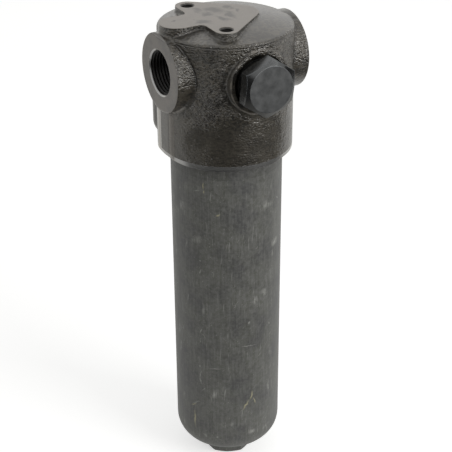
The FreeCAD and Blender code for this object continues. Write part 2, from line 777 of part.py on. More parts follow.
def plug_bore(body, d):
    """The indicator port: recess, thread, nose bore and the two signal drillings."""
    face = -d.plug_face_reach
    floor = face + d.recess_depth
    nose = floor + d.plug_thread_length
    nose_end = nose + d.nose_length
    turned(body, "PlugPort", "YZ_Plane", [
        (face, 0),
        (face, d.recess / 2),
        (floor, d.recess / 2),
        (floor, d.plug_thread / 2),
        (nose, d.plug_thread / 2),
        (nose, d.nose_bore / 2),
        (nose_end, d.nose_bore / 2),
        (nose_end, d.signal_hole / 2),
        (-d.duct / 2 + PAST, d.signal_hole / 2),
        (-d.duct / 2 + PAST, 0),
    ], shift=(0, -d.port_drop, 0), axis="H_Axis", cut=True)
    spot = sketch_on(body, "XY_Plane", "InletSignalCircle", (0, 0, -d.deck_drop))
    circle(spot, d.inlet_signal_hole / 2, 0, nose + d.inlet_signal_step)
    sunk(body, "InletSignalHole", spot, d.deck_drop - d.port_drop, back=True)


def mounting_holes(body, d):
    """The two tapped holes in the mounting pad."""
    spots = sketch_on(body, "XY_Plane", "MountingHoleCircles")
    for side in (-1, 1):
        circle(spots, d.mount_hole / 2, -d.hole_back, side * d.hole_spacing / 2)
    body.Document.recompute()
    holes = body.newObject("PartDesign::Hole", "MountingHoles")
    holes.Profile = spots
    holes.DepthType = "Dimension"
    holes.HoleCutType = "Countersink"
    holes.HoleCutCustomValues = True
    holes.DrillPoint = "Angled"
    bound(holes, "Diameter", d.mount_hole)
    bound(holes, "Depth", d.mount_hole_depth)
    bound(holes, "HoleCutDiameter", d.mount_hole_mouth)
    holes.HoleCutCountersinkAngle = 90


def make_head(doc, d):
    """The cast head."""
    body = new_body(doc, "head")
    head_casting(body, d)
    head_bores(body, d)


# The plug in the indicator port, drawn along Z with its boss face at zero

def nose_levels(d):
    """The end of the plug's thread, its tip and the lower end of its O-ring groove."""
    thread_end = d.seat_gap - d.recess_depth - d.plug_thread_length
    tip = d.nose_end_gap - d.recess_depth - d.plug_thread_length - d.nose_length
    return thread_end, tip, tip + d.nose_land


def make_indicator_plug(doc, d):
    """Hexagon plug with a collar, a thread and a nose that carries an O-ring."""
    body = new_body(doc, "indicator_plug")
    collar = d.plug_collar / 2
    thread = d.plug_thread / 2 - d.thread_clearance
    nose = d.nose_bore / 2 - d.seal_clearance
    seat = d.bonded_seal_height - d.recess_depth
    thread_end, tip, groove_end = nose_levels(d)
    floor = nose - d.nose_cord
    groove_top = groove_end + d.nose_groove
    turned(body, "Shank", "XZ_Plane", [
        (0, tip),
        (nose - d.nose_cord / 2, tip),
        (nose, tip + d.nose_cord / 2),
        (nose, groove_end),
        (floor, groove_end),
        (floor, groove_top),
        (nose, groove_top),
        (nose, thread_end),
        (thread, thread_end + (thread - nose)),
        (thread, seat),
        (collar, seat),
        (collar, d.plug_collar_height),
        (0, d.plug_collar_height),
    ])
    hexagon_sketch = sketch_on(body, "XY_Plane", "HexOutline", (0, 0, d.plug_collar_height))
    hexagon(hexagon_sketch, d.plug_hex, as_size(0))
    raised(body, "Hex", hexagon_sketch, d.plug_hex_height)
    hex_chamfer(body, "HexChamfer", d, d.plug_face / 2, d.plug_hex,
                d.plug_collar_height + d.plug_hex_height, 1)
    turn = Rotation(Vector(0, 0, 1), d.plug_turn.value)
    place(body, (0, -d.plug_face_reach, -d.port_drop), Rotation(Vector(1, 0, 0), 90) * turn)


def hex_chamfer(body, name, d, circle_radius, flats, face, way):
    """Cut the corners of a hexagon back to a cone; way is 1 for an upper face, -1 for a lower."""
    reach = flats / 2 / cosine(as_size(30)) + PAST
    fall = (reach - circle_radius) * d.chamfer_slope
    turned(body, name, "XZ_Plane", [
        (circle_radius, face),
        (reach, face - way * fall),
        (reach, face + way * PAST),
        (circle_radius, face + way * PAST),
    ], cut=True)


def make_plug_seal(doc, d):
    """The bonded seal between the plug's collar and the recess."""
    body = new_body(doc, "plug_bonded_seal")
    start = -d.recess_depth
    bore = d.plug_thread / 2 + d.bonded_seal_bore_gap
    rim = d.recess / 2 - d.bonded_seal_gap
    turned(body, "Washer", "XZ_Plane", [
        (bore, start),
        (rim, start),
        (rim, start + d.bonded_seal_height),
        (bore, start + d.bonded_seal_height),
    ])
    place(body, (0, -d.plug_face_reach, -d.port_drop), Rotation(Vector(1, 0, 0), 90))


def make_ring(doc, label, centre, radius, middle, rotation=Rotation()):
    """An O-ring: its centre line radius, section radius and the middle of the ring."""
    ring = doc.addObject("Part::Torus", label)
    ring.Label = label
    bound(ring, "Radius1", centre)
    bound(ring, "Radius2", radius)
    place(ring, middle, rotation)


def make_plug_o_ring(doc, d):
    """The O-ring on the plug's nose."""
    nose = d.nose_bore / 2 - d.seal_clearance
    _, _, groove_end = nose_levels(d)
    along = groove_end + d.nose_groove / 2
    radius = d.nose_cord / 2 - d.layer_gap
    make_ring(doc, "plug_o_ring", nose - d.nose_cord / 2, radius,
              (0, -d.plug_face_reach - along, -d.port_drop), Rotation(Vector(1, 0, 0), 90))


# The spigot that carries the element

def make_spigot(doc, d):
    """Threaded insert with a hexagon and the nose that the element slides on."""
    body = new_body(doc, "element_spigot")
    thread = d.spigot_thread / 2 - d.thread_clearance
    nose = d.spigot_nose / 2
    bore = d.spigot_bore / 2
    shoulder = -d.deck_drop - d.spigot_hex_height
    end = shoulder - d.spigot_nose_length
    turned(body, "Tube", "XZ_Plane", [
        (bore, end),
        (nose - d.spigot_lead, end),
        (nose, end + 2 * d.spigot_lead),
        (nose, shoulder),
        (thread, shoulder),
        (thread, d.spigot_thread_length - d.deck_drop - d.seat_gap),
        (bore, d.spigot_thread_length - d.deck_drop - d.seat_gap),
    ])
    plate = sketch_on(body, "XY_Plane", "HexOutline", (0, 0, -d.deck_drop))
    hexagon(plate, d.spigot_hex, as_size(0))
    circle(plate, nose)
    raised(body, "Hex", plate, d.spigot_hex_height, back=True)


# The bypass valve

def make_bypass_seat(doc, d):
    """The valve seat with its thread, flange and windowed cage."""
    body = new_body(doc, "bypass_seat")
    thread = d.seat_thread / 2 - d.thread_clearance
    flange = d.seat_flange / 2
    hole = d.seat_hole / 2
    cage = d.cage / 2
    bore = d.cage_bore / 2
    ring_top = -d.guide_drop - d.guide_height
    ring_end = ring_top - d.ring_height - 2 * d.layer_gap
    turned(body, "Seat", "XZ_Plane", [
        (hole, -d.chamber_floor - d.seat_gap),
        (hole, -d.seat_drop),
        (bore, -d.seat_drop),
        (bore, ring_top),
        (bore + d.ring_bite, ring_top),
        (bore + d.ring_bite, ring_end),
        (bore, ring_end),
        (bore, -d.cage_end),
        (cage, -d.cage_end),
        (cage, -d.duct_drop - d.seat_flange_height),
        (flange, -d.duct_drop - d.seat_flange_height),
        (flange, -d.duct_drop),
        (thread, -d.duct_drop),
        (thread, -d.chamber_floor - d.seat_gap),
    ])
    window = sketch_on(body, "XZ_Plane", "WindowOutline")
    half = d.window_width / 2
    top = -d.seat_drop - d.poppet_disc_height / 2
    outline(window, [
        (-half, top - d.window_height),
        (half, top - d.window_height),
        (half, top),
        (-half, top),
    ])
    first = sunk(body, "Window", window, d.cage, back=True)
    around_axis(body, "Windows", first, d.window_count)


def make_bypass_poppet(doc, d):
    """The poppet: pilot in the seat, disc and guided stem."""
    body = new_body(doc, "bypass_poppet")
    face = -d.seat_drop - d.seat_gap
    back = face - d.poppet_disc_height
    pilot = d.poppet_pilot / 2
    hub = d.spring_mean / 2 - d.spring_wire / 2 - d.seat_gap
    turned(body, "Poppet", "XZ_Plane", [
        (0, face + d.poppet_pilot_height),
        (pilot - d.poppet_pilot_height / 2, face + d.poppet_pilot_height),
        (pilot, face),
        (d.poppet_disc / 2, face),
        (d.poppet_disc / 2, back),
        (hub, back),
        (hub, back - d.spring_wire),
        (d.poppet_stem / 2, back - d.spring_wire),
        (d.poppet_stem / 2, -d.cage_end),
        (0, -d.cage_end),
    ])


def make_bypass_spring(doc, d):
    """The compression spring between the poppet and its guide."""
    body = new_body(doc, "bypass_spring")
    wire = d.spring_wire / 2
    top = -d.seat_drop - d.seat_gap - d.poppet_disc_height
    room = top + d.guide_drop - d.spring_wire - 2 * d.layer_gap
    section = sketch_on(body, "XZ_Plane", "WireSection")
    circle(section, wire, d.spring_mean / 2, -d.guide_drop + wire + d.layer_gap)
    coil = body.newObject("PartDesign::AdditiveHelix", "Coil")
    coil.Profile = section
    coil.ReferenceAxis = (section, ["V_Axis"])
    coil.Mode = "pitch-height-angle"
    coil.Angle = 0
    bound(coil, "Pitch", room / d.spring_turns)
    bound(coil, "Height", room)


def make_bypass_guide(doc, d):
    """The perforated plate that carries the spring and guides the stem."""
    body = new_body(doc, "bypass_guide")
    disc = sketch_on(body, "XY_Plane", "GuideCircles", (0, 0, -d.guide_drop))
    circle(disc, d.cage_bore / 2 - d.thread_clearance)
    circle(disc, d.poppet_stem / 2 + d.stem_clearance)
    raised(body, "Disc", disc, d.guide_height, back=True)
    spot = sketch_on(body, "XY_Plane", "FlowHoleCircle", (0, 0, -d.guide_drop))
    circle(spot, d.guide_hole / 2, d.cage_bore / 4 + d.poppet_stem / 4 + d.stem_clearance, 0)
    first = sunk(body, "FlowHole", spot, d.guide_height)
    around_axis(body, "FlowHoles", first, d.window_count)


def make_retaining_ring(doc, d):
    """The open ring that holds the guide in the cage."""
    body = new_body(doc, "bypass_retaining_ring")
    outer = d.cage_bore / 2 + d.ring_bite - d.thread_clearance
    level = -d.guide_drop - d.guide_height - d.layer_gap
    ring = sketch_on(body, "XY_Plane", "RingCircles", (0, 0, level))
    circle(ring, outer)
    circle(ring, outer - d.ring_width)
    raised(body, "Ring", ring, d.ring_height, back=True)
    gap = sketch_on(body, "XY_Plane", "GapOutline", (0, 0, level))
    half = d.ring_gap / 2
    outline(gap, [(0, -half), (outer + PAST, -half), (outer + PAST, half), (0, half)])
    sunk(body, "Gap", gap, d.ring_height)


# The bowl and its seals

def bowl_levels(d):
    """The bowl's shoulder, the end of its neck and the ends of its seal groove."""
    shoulder = d.entry_depth - d.head_height - d.seat_gap
    neck_end = -d.deck_drop - d.seat_gap
    groove_top = neck_end - d.bowl_groove_start
    return shoulder, neck_end, groove_top, groove_top - d.bowl_groove


def make_bowl(doc, d):
    """The screw-in bowl: threaded neck, seal groove, deep-drawn domed end and hexagon."""
    body = new_body(doc, "bowl")
    outer = d.bowl_outside
    inner = d.bowl_inside
    thread = d.thread_bore - d.thread_clearance
    neck = d.neck_bore - d.seal_clearance
    floor = neck - d.bowl_cord
    shoulder, neck_end, groove_top, groove_end = bowl_levels(d)
    thread_top = -d.deck_drop - d.seal_bore_length - d.bowl_neck_step - d.seat_gap
    crown, knuckle = d.crown_radius, d.knuckle_radius
    offset = outer - knuckle
    span = crown - knuckle
    rise = root(span * span - offset * offset)
    middle = d.foot_height - d.total_height + crown
    spring_line = middle - rise
    inside_crown = crown - d.bowl_wall
    turned(body, "Shell", "XZ_Plane", [
        (0, middle - crown),
        (crown * offset / span, middle - crown * rise / span, crown),
        (outer, spring_line, knuckle),
        (outer, shoulder),
        (thread, shoulder),
        (thread, thread_top - (thread - neck)),
        (neck, thread_top),
        (neck, groove_end),
        (floor, groove_end),
        (floor, groove_top),
        (neck, groove_top),
        (neck, neck_end),
        (inner, neck_end),
        (inner, spring_line),
        (inside_crown * offset / span, middle - inside_crown * rise / span, d.bowl_wall - knuckle),
        (0, middle - inside_crown, -inside_crown),
    ])
    foot = sketch_on(body, "XY_Plane", "FootOutline", (0, 0, -d.total_height))
    hexagon(foot, d.foot_hex, d.foot_turn)
    raised(body, "Foot", foot, d.foot_height + d.foot_bury)

    def on_dome_and_flat(p):
        """Whether a point lies where a hexagon flat leaves the crown."""
        on_crown = near(math.hypot(math.hypot(p.x, p.y), p.z - middle.value), crown.value)
        return on_crown and math.hypot(p.x, p.y) > d.foot_hex.value / 2 - 0.01

    dressed(body, "Fillet", "FootFillet", d.foot_fillet, on_dome_and_flat)
    hex_chamfer(body, "FootChamfer", d, d.foot_face / 2, d.foot_hex, -d.total_height, -1)


def make_bowl_seals(doc, d):
    """The bowl's O-ring and the backup ring above it."""
    _, _, groove_top, groove_end = bowl_levels(d)
    neck = d.neck_bore - d.seal_clearance
    radius = d.bowl_cord / 2 - d.layer_gap
    room = d.bowl_groove - d.backup_width
    make_ring(doc, "bowl_o_ring", neck - d.bowl_cord / 2, radius, (0, 0, groove_end + room / 2))
    body = new_body(doc, "bowl_backup_ring")
    turned(body, "Ring", "XZ_Plane", [
        (neck - d.bowl_cord + d.layer_gap, groove_top - d.layer_gap - d.backup_width),
        (neck - d.layer_gap, groove_top - d.layer_gap - d.backup_width),
        (neck - d.layer_gap, groove_top - d.layer_gap),
        (neck - d.bowl_cord + d.layer_gap, groove_top - d.layer_gap),
    ])


# The element

def element_levels(d):
    """The element's upper face and the inner faces of its two caps."""
    top = -d.deck_drop - d.spigot_hex_height
    bottom = d.foot_height - d.total_height + d.bowl_wall + d.sump
    return top, top - d.cap_plate, bottom + d.cap_plate


def make_top_cap(doc, d):
    """The open end cap, whose hub slides on the spigot."""
    body = new_body(doc, "element_top_cap")
    top, under, _ = element_levels(d)
    bore = d.spigot_nose / 2 + d.seal_clearance
    rim = d.cap_outside
    hub = d.cap_hub / 2
    groove = bore + d.element_cord
    middle = top - d.element_groove_drop
    half_groove = d.element_groove / 2
    turned(body, "Cap", "XZ_Plane", [
        (bore, top),
        (bore, middle + half_groove),
        (groove, middle + half_groove),
        (groove, middle - half_groove),
        (bore, middle - half_groove),
        (bore, top - d.hub_length),
        (hub, top - d.hub_length),
        (hub, under),
        (rim - d.cap_rim, under),
        (rim - d.cap_rim, top - d.cap_rim_height),
        (rim, top - d.cap_rim_height),
        (rim, top),
    ])


def make_bottom_cap(doc, d):
    """The closed end cap."""
    body = new_body(doc, "element_bottom_cap")
    _, _, plate = element_levels(d)
    rim = d.cap_outside
    turned(body, "Cap", "XZ_Plane", [
        (0, plate - d.cap_plate),
        (rim, plate - d.cap_plate),
        (rim, plate - d.cap_plate + d.cap_rim_height),
        (rim - d.cap_rim, plate - d.cap_plate + d.cap_rim_height),
        (rim - d.cap_rim, plate),
        (0, plate),
    ])


def make_element_o_ring(doc, d):
    """The O-ring in the upper cap's hub."""
    top, _, _ = element_levels(d)
    centre = d.spigot_nose / 2 + d.seal_clearance + d.element_cord / 2
    make_ring(doc, "element_o_ring", centre, d.element_cord / 2 - d.layer_gap,
              (0, 0, top - d.element_groove_drop))


def make_core(doc, d):
    """The perforated tube that holds the pleats up against the flow."""
    body = new_body(doc, "element_core")
    _, under, plate = element_levels(d)
    bore = d.core_inside
    length = under - plate
    tube = sketch_on(body, "XY_Plane", "TubeCircles", (0, 0, plate))
    circle(tube, bore)
    circle(tube, bore + d.core_wall)
    raised(body, "Tube", tube, length)
    start = plate + length / (d.core_rows + 1)
    hole = sketch_on(body, "YZ_Plane", "HoleCircle")
    circle(hole, d.core_hole / 2, 0, start)
    first = sunk(body, "Hole", hole, bore + d.core_wall + PAST, back=True)
    pattern = body.newObject("PartDesign::MultiTransform", "HoleField")
    pattern.Originals = [first]
    rows = body.newObject("PartDesign::LinearPattern", "HoleRows")
    rows.Direction = (hole, ["V_Axis"])
    bound(rows, "Length", length * (d.core_rows - 1) / (d.core_rows + 1))
    rows.Occurrences = int(d.core_rows.value)
    rows.setExpression("Occurrences", d.core_rows.text)
    columns = body.newObject("PartDesign::PolarPattern", "HoleColumns")
    columns.Axis = (next(f for f in body.Origin.OriginFeatures if f.Role == "Z_Axis"), [""])
    columns.Angle = FULL_TURN
    columns.Occurrences = int(d.core_columns.value)
    columns.setExpression("Occurrences", d.core_columns.text)
    pattern.Transformations = [rows, columns]
    body.Tip = pattern


def pleat_outline(d, depth):
    """One pleated surface, depth below the outside of the pack, as a closed wire at height zero."""
    count = int(d.pleat_count.value)
    outer = d.pleat_outer.value - depth
    inner = (d.pleat_inner + d.pleat_pack).value - depth
    tip = d.pleat_tip.value / 2 - depth
    web = d.pleat_root.value / 2 + depth
    corners = []
    for number in range(count):
        middle = 2 * math.pi * number / count
        valley = math.pi / count
        for radius, angle in ((inner, middle - valley + web / inner), (outer, middle - tip / outer),
                              (outer, middle + tip / outer), (inner, middle + valley - web / inner)):
            corners.append(Vector(radius * math.cos(angle), radius * math.sin(angle)))
    return Part.makePolygon(corners + corners[:1])


def make_layer(doc, d, label, depth, thickness):
    """One layer of the pleat pack, from the upper cap to the lower one."""
    _, under, plate = element_levels(d)
    wires = [pleat_outline(d, depth), pleat_outline(d, depth + thickness)]
    face = Part.makeFace(wires, "Part::FaceMakerBullseye")
    layer = doc.addObject("Part::Feature", label)
    layer.Label = label
    layer.Shape = face.extrude(Vector(0, 0, (under - plate).value))
    place(layer, (0, 0, plate))


def make_pleats(doc, d):
    """Wire cloth, medium and wire cloth, folded together."""
    mesh = d.mesh_thickness.value
    medium = d.medium_thickness.value
    gap = d.layer_gap.value
    make_layer(doc, d, "outer_mesh", 0, mesh)
    make_layer(doc, d, "filter_medium", mesh + gap, medium)
    make_layer(doc, d, "inner_mesh", mesh + medium + 2 * gap, mesh)


def flank_half_width(d, depth):
    """Half the width of a pleat at a depth below its outer fold."""
    valley = d.pleat_inner + d.pleat_pack
    foot = valley * sine(as_size(180) / d.pleat_count) - d.pleat_root / 2
    tip = d.pleat_tip / 2
    return tip + (foot - tip) * depth / (d.pleat_outer - valley)


def make_seam_clip(doc, d):
    """The channel that closes the pack's seam over one outer fold."""
    body = new_body(doc, "seam_clip")
    _, under, plate = element_levels(d)
    inside = flank_half_width(d, d.clip_depth) + d.clip_gap
    wide = inside + d.clip_wall
    face = d.pleat_outer + d.clip_gap
    back = d.pleat_outer - d.clip_depth
    reach = plate + d.cap_rim_height
    strip = sketch_on(body, "XY_Plane", "ClipOutline", (0, 0, reach))
    outline(strip, [
        (back, -wide),
        (face + d.clip_wall, -wide),
        (face + d.clip_wall, wide),
        (back, wide),
        (back, inside),
        (face, inside),
        (face, -inside),
        (back, -inside),
    ])
    raised(body, "Channel", strip, under - d.cap_rim_height - reach)


def check_document(doc):
    """Stop if any object failed, and return the sub-parts that are to be written."""
    kept = []
    for item in doc.Objects:
        states = set(item.State)
        if states & {"Invalid", "Error"}:
            raise RuntimeError(f"{item.Name} failed: {item.State}")
        inside_body = item.getParentGeoFeatureGroup() is not None
        if item.isDerivedFrom("Part::Feature") and not inside_body:
            shape = item.Shape
            if shape.isNull() or not shape.isValid() or not shape.Solids:
                raise RuntimeError(f"{item.Label} has no valid solid")
            kept.append(item)
    return kept


def main():
    """Build the document, check it and write one file per sub-part."""
    doc = FreeCAD.newDocument("HydraulicPressureFilter")
    sizes = fill_sheet(doc)
    makers = (make_head, make_indicator_plug, make_plug_seal, make_plug_o_ring, make_spigot,
              make_bypass_seat, make_bypass_poppet, make_bypass_spring, make_bypass_guide,
              make_retaining_ring, make_bowl, make_bowl_seals, make_top_cap, make_bottom_cap,
              make_element_o_ring, make_core, make_pleats, make_seam_clip)
    for make in makers:
        make(doc, sizes)
    doc.recompute()
    os.makedirs("parts", exist_ok=True)
    for item in check_document(doc):
        item.Shape.exportStep(f"parts/{item.Label}.step")


main()
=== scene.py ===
import math
from functools import partial

import bpy
from bpy.props import FloatProperty, FloatVectorProperty, IntProperty, PointerProperty
from mathutils import Matrix, Vector


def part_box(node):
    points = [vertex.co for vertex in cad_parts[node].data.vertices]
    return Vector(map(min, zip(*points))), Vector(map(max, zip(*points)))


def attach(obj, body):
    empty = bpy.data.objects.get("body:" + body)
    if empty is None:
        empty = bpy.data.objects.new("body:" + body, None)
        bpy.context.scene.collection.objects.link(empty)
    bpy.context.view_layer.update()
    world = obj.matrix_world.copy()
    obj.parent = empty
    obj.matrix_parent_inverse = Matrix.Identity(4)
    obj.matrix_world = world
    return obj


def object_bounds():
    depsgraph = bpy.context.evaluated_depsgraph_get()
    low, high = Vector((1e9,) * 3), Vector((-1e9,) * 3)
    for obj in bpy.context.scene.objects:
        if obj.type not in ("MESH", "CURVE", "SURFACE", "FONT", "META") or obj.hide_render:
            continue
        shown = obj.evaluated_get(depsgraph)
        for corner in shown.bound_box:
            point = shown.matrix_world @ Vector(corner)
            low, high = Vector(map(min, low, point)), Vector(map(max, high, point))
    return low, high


bl_info = {
    "name": "Hydraulic pressure filter",
    "version": (1, 0, 0),
    "blender": (4, 5, 0),
    "location": "View3D > Sidebar > Pressure filter",
    "description": "Finishes, threads and stage for an in-line hydraulic pressure filter",
    "category": "Object",
}

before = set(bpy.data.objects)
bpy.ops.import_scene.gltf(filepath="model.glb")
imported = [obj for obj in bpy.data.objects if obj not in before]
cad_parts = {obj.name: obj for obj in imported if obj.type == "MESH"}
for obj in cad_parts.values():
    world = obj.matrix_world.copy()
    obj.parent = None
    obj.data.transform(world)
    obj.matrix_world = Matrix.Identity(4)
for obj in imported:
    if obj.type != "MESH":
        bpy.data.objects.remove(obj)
CAD_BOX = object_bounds()

MM = 0.001
UP = (0.0, 0.0, 1.0)

# Places on the filter, in millimetres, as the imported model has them
PORT_AXIS_HEIGHT = -33.0
PORT_FACE_REACH = 50.5
PORT_THREAD_START = 49.35
PORT_THREAD_END = 29.5
PORT_THREAD_RADIUS = 15.15
PORT_MOUTH_RADIUS = 16.3
PORT_BOSS_RADIUS = 29.8
PORT_BOSS_START = 38.0
PLUG_BOSS_RADIUS = 22.0
PLUG_BOSS_START = 42.0
PLUG_BOSS_LIP = 46.4
PORT_BOSS_CLEFT = 28.2
DOME_EDGE = 8.2
RECESS_RADIUS = 19.1
RECESS_END = 30.0
HOLE_X = -14.6
HOLE_Y = 28.2
HOLE_DEPTH = 16.0
HOLE_RADIUS = 4.25
HOLE_COUNTERSINK = 0.85
SKIRT_RADIUS = 46.9
SKIRT_RIM = -97.0
RIM_CONE = SKIRT_RADIUS - SKIRT_RIM - 4.6  # radius and depth added up, where the cone starts
SWELL_TOP = 60.4
SWELL_SIDE = 43.5
SWELL_EDGE = 45.2
FLAT_REACH = 47.6
FLAT_EDGE = 5.4
BOWL_RADIUS = 40.0
BOWL_BORE_TOP = 58.0
BOWL_THREAD_TOP = -78.0
BOWL_THREAD_FOOT = -92.8
PLUG_FRONT = -62.3
FAR = 120.0  # beyond any place on the head

# The stage, in metres: how far the floor reaches and how much it glows, where the lamps point,
# the black card's outline and the feet of its two flags, and the camera
FLOOR_REACH = 40.0
FLOOR_GLOW = 0.38
SEEN_GLOW = 0.17
LAMP_AIM = (0.0, 0.0, -0.1)
CARD_OUTLINE = ((-1.6, -2.2), (2.6, -2.2), (2.6, -0.12), (-0.4, -0.12), (-0.4, 0.1), (-1.6, 0.1))
CARD_FLAGS = (((1.9, -1.5), (1.9, -0.1)), ((-1.5, -1.0), (-0.1, -1.7)))
FLAG_HEIGHT = 0.75
CAMERA_AIM = (0.0, 0.0, -0.16326)
CAMERA_SIDE = (-0.4184, -0.7716, 0.4793)
CAMERA_DISTANCE = 0.90469
CAMERA_ROLL = -0.0057
CAMERA_SHIFT = -0.0015

# Scratches on the bowl, in millimetres from its front along the girth, then the height below the
# mounting face, length, width, and tilt in degrees
PALE_SCRATCHES = (
    (-41.8, -116.0, 5.3, 1.2, 19.0),
    (-6.7, -155.6, 3.1, 1.1, 81.0),
    (21.9, -164.9, 6.7, 11.3, 92.0),
    (-40.0, -172.6, 2.2, 1.9, 15.0),
    (-40.1, -181.8, 6.7, 1.6, 63.0),
    (24.9, -130.0, 4.8, 1.7, -25.0),
    (-40.2, -231.8, 7.8, 1.1, 72.0),
    (-37.7, -236.3, 5.6, 1.3, 110.0),
    (-41.2, -241.9, 7.2, 1.1, 64.0),
    (-3.4, -224.7, 3.1, 2.2, 58.0),
    (-4.1, -244.9, 14.9, 1.3, -9.0),
    (-28.6, -264.1, 15.5, 0.9, 4.0),
    (-41.6, -264.6, 2.9, 2.1, 20.0),
    (-41.3, -271.9, 8.3, 1.4, 72.0),
    (-41.0, -278.2, 7.6, 1.8, 105.0),
    (-38.5, -284.8, 6.3, 1.0, 65.0),
    (-46.1, -300.0, 10.5, 1.3, 32.0),
    (-0.4, -325.5, 6.5, 7.0, 57.0),
    (-28.4, -328.6, 2.4, 1.9, 9.0),
    (16.0, -232.4, 3.1, 1.7, -27.0),
)
FAINT_RUBS = (
    (-70.0, -131.7, 11.8, 5.5, 79.0),
    (-58.7, -119.4, 7.8, 2.4, 80.0),
    (-51.3, -114.2, 6.4, 1.8, 86.0),
    (-69.5, -168.4, 11.3, 4.8, 80.0),
    (-67.7, -175.1, 8.4, 4.2, 81.0),
    (-52.2, -161.9, 10.2, 1.5, 77.0),
    (-51.4, -189.2, 12.3, 1.7, 86.0),
    (19.2, -172.8, 8.5, 2.2, 91.0),
    (17.6, -189.7, 10.6, 2.0, 94.0),
    (9.3, -202.2, 6.6, 8.4, 47.0),
    (-52.0, -207.4, 8.3, 1.9, 82.0),
    (16.1, -118.6, 7.1, 1.9, 91.0),
    (2.5, -113.2, 7.0, 1.3, 90.0),
    (-64.8, -241.5, 14.8, 4.0, 78.0),
    (-71.4, -145.4, 13.2, 5.8, 78.0),
    (10.9, -130.9, 15.8, 8.4, -6.0),
    (-43.0, -156.2, 13.8, 6.5, 33.0),
    (-56.3, -132.7, 11.7, 6.9, 46.0),
    (-36.6, -213.2, 14.9, 6.0, 72.0),
    (1.5, -206.2, 8.9, 9.0, 27.0),
    (-63.1, -255.9, 12.6, 4.7, 79.0),
    (17.8, -257.8, 13.4, 3.9, 94.0),
    (15.8, -289.2, 13.0, 3.2, 88.0),
    (-29.6, -288.2, 12.6, 8.2, 40.0),
    (-60.4, -301.1, 11.8, 3.9, 75.0),
    (-18.2, -315.9, 15.5, 7.7, 4.0),
    (-36.6, -329.1, 9.4, 3.2, -19.0),
    (13.9, -326.6, 10.1, 4.3, 20.0),
    (-61.4, -326.1, 7.0, 5.1, -47.0),
)
YELLOW_SCRATCHES = (
    (-25.9, -133.3, 4.4, 1.8, 24.0),
    (-36.6, -111.7, 6.2, 1.2, 91.0),
    (-1.0, -290.8, 9.6, 1.9, 78.0),
    (-5.6, -298.8, 11.4, 2.1, 58.0),
    (1.7, -296.5, 8.5, 1.3, 107.0),
    (-47.4, -316.0, 19.2, 2.1, 91.0),
    (-48.2, -302.9, 7.4, 1.1, 33.0),
    (-36.3, -116.2, 3.2, 1.2, 80.0),
)

# Oil stains on the mounting face: x and y of the middle, length, width, and tilt in degrees
PAD_STAINS = (
    (-3.2, 10.4, 18.5, 13.0, -58.0),
    (2.2, -2.3, 19.2, 7.8, -84.0),
    (-6.3, -6.8, 16.8, 6.4, -68.0),
    (-10.7, 5.0, 10.4, 9.3, -1.0),
    (-13.9, 16.4, 15.7, 8.7, -77.0),
    (8.1, 11.2, 8.2, 8.5, -29.0),
    (-21.1, -7.6, 13.5, 10.6, -57.0),
    (-36.8, 6.2, 5.0, 3.0, 53.0),
    (9.8, 3.0, 11.6, 3.9, -98.0),
)


# Colour and nodes


def linear(hex_colour):
    """An sRGB hex colour as the linear colour that Blender's sockets take."""
    channels = []
    for at in (0, 2, 4):
        level = int(hex_colour[at : at + 2], 16) / 255
        low = level <= 0.04045
        channels.append(level / 12.92 if low else ((level + 0.055) / 1.055) ** 2.4)
    return (*channels, 1.0)


def add_node(tree, kind, inputs=(), **settings):
    """Adds one node, named without ShaderNode where that is its prefix. Inputs are values, or
    nodes and sockets to link, in the order of the sockets in use, or by name or number.
    Settings are the node's own properties."""
    made = tree.nodes.new(kind if "Node" in kind else "ShaderNode" + kind)
    for name, value in settings.items():
        setattr(made, name, value)
    if isinstance(inputs, dict):
        pairs = [(made.inputs[key], value) for key, value in inputs.items()]
    else:
        pairs = zip([socket for socket in made.inputs if socket.enabled], inputs)
    for socket, value in pairs:
        if isinstance(value, bpy.types.Node):
            value = next(output for output in value.outputs if output.enabled)
        if isinstance(value, bpy.types.NodeSocket):
            tree.links.new(value, socket)
        else:
            socket.default_value = value
    return made


def combined(add, operation, first, *others):
    """One maths operation over several nodes, sockets or numbers in a row."""
    result = first
    for other in others:
        result = add("Math", (result, other), operation=operation)
    return result


def adder(holder):
    """Empties the tree of a new material or world, and returns add_node bound to that tree."""
    holder.use_nodes = True
    holder.node_tree.nodes.clear()
    return partial(add_node, holder.node_tree)


def new_finish(name):
    """A new material; returns it, what adds nodes to it, and the socket for the place on it."""
    finish = bpy.data.materials.new(name)
    add = adder(finish)
    return finish, add, add("TexCoord").outputs["Object"]


def shade(add, inputs, height=None, rounded=None):
    """Ends a finish: its shader, with bump from a height in metres over the rounded surface."""
    if height is not None:
        bumped = {"Strength": 1.0, "Distance": 1.0, "Height": height}
        if rounded is not None:
            bumped["Normal"] = rounded
        inputs = {**inputs, "Normal": add("Bump", bumped)}
    shader = add("BsdfPrincipled", inputs)
    add("OutputMaterial", (shader,))


def axis_distance(add, place, centre, across):
    """Distance from a line through centre (in mm); across is 0 along it, and else 1."""
    centre = tuple(MM * value for value in centre)
    moved = add("VectorMath", (place, centre), operation="SUBTRACT")
    flat = add("VectorMath", (moved, across), operation="MULTIPLY")
    return add("VectorMath", (flat,), operation="LENGTH")


def clouded(add, place, size, detail, colours, roughness):
    """Clouds size mm wide: returns them, and the colour and the roughness that change in them.
    The detail is the noise's detail, or its detail and roughness."""
    clouds = add("TexNoise", (place, 1.0 / (MM * size), *detail))
    colour = add("Mix", (clouds, *colours), data_type="RGBA")
    return clouds, colour, add("MapRange", (clouds, 0.3, 0.7, *roughness))


def zone(add, distance, radius, along, beyond):
    """1 where distance is under radius and along is over beyond (both in mm), else 0."""
    near = add("Math", (distance, MM * radius), operation="LESS_THAN")
    past = add("Math", (along, MM * beyond), operation="GREATER_THAN")
    return combined(add, "MULTIPLY", near, past)


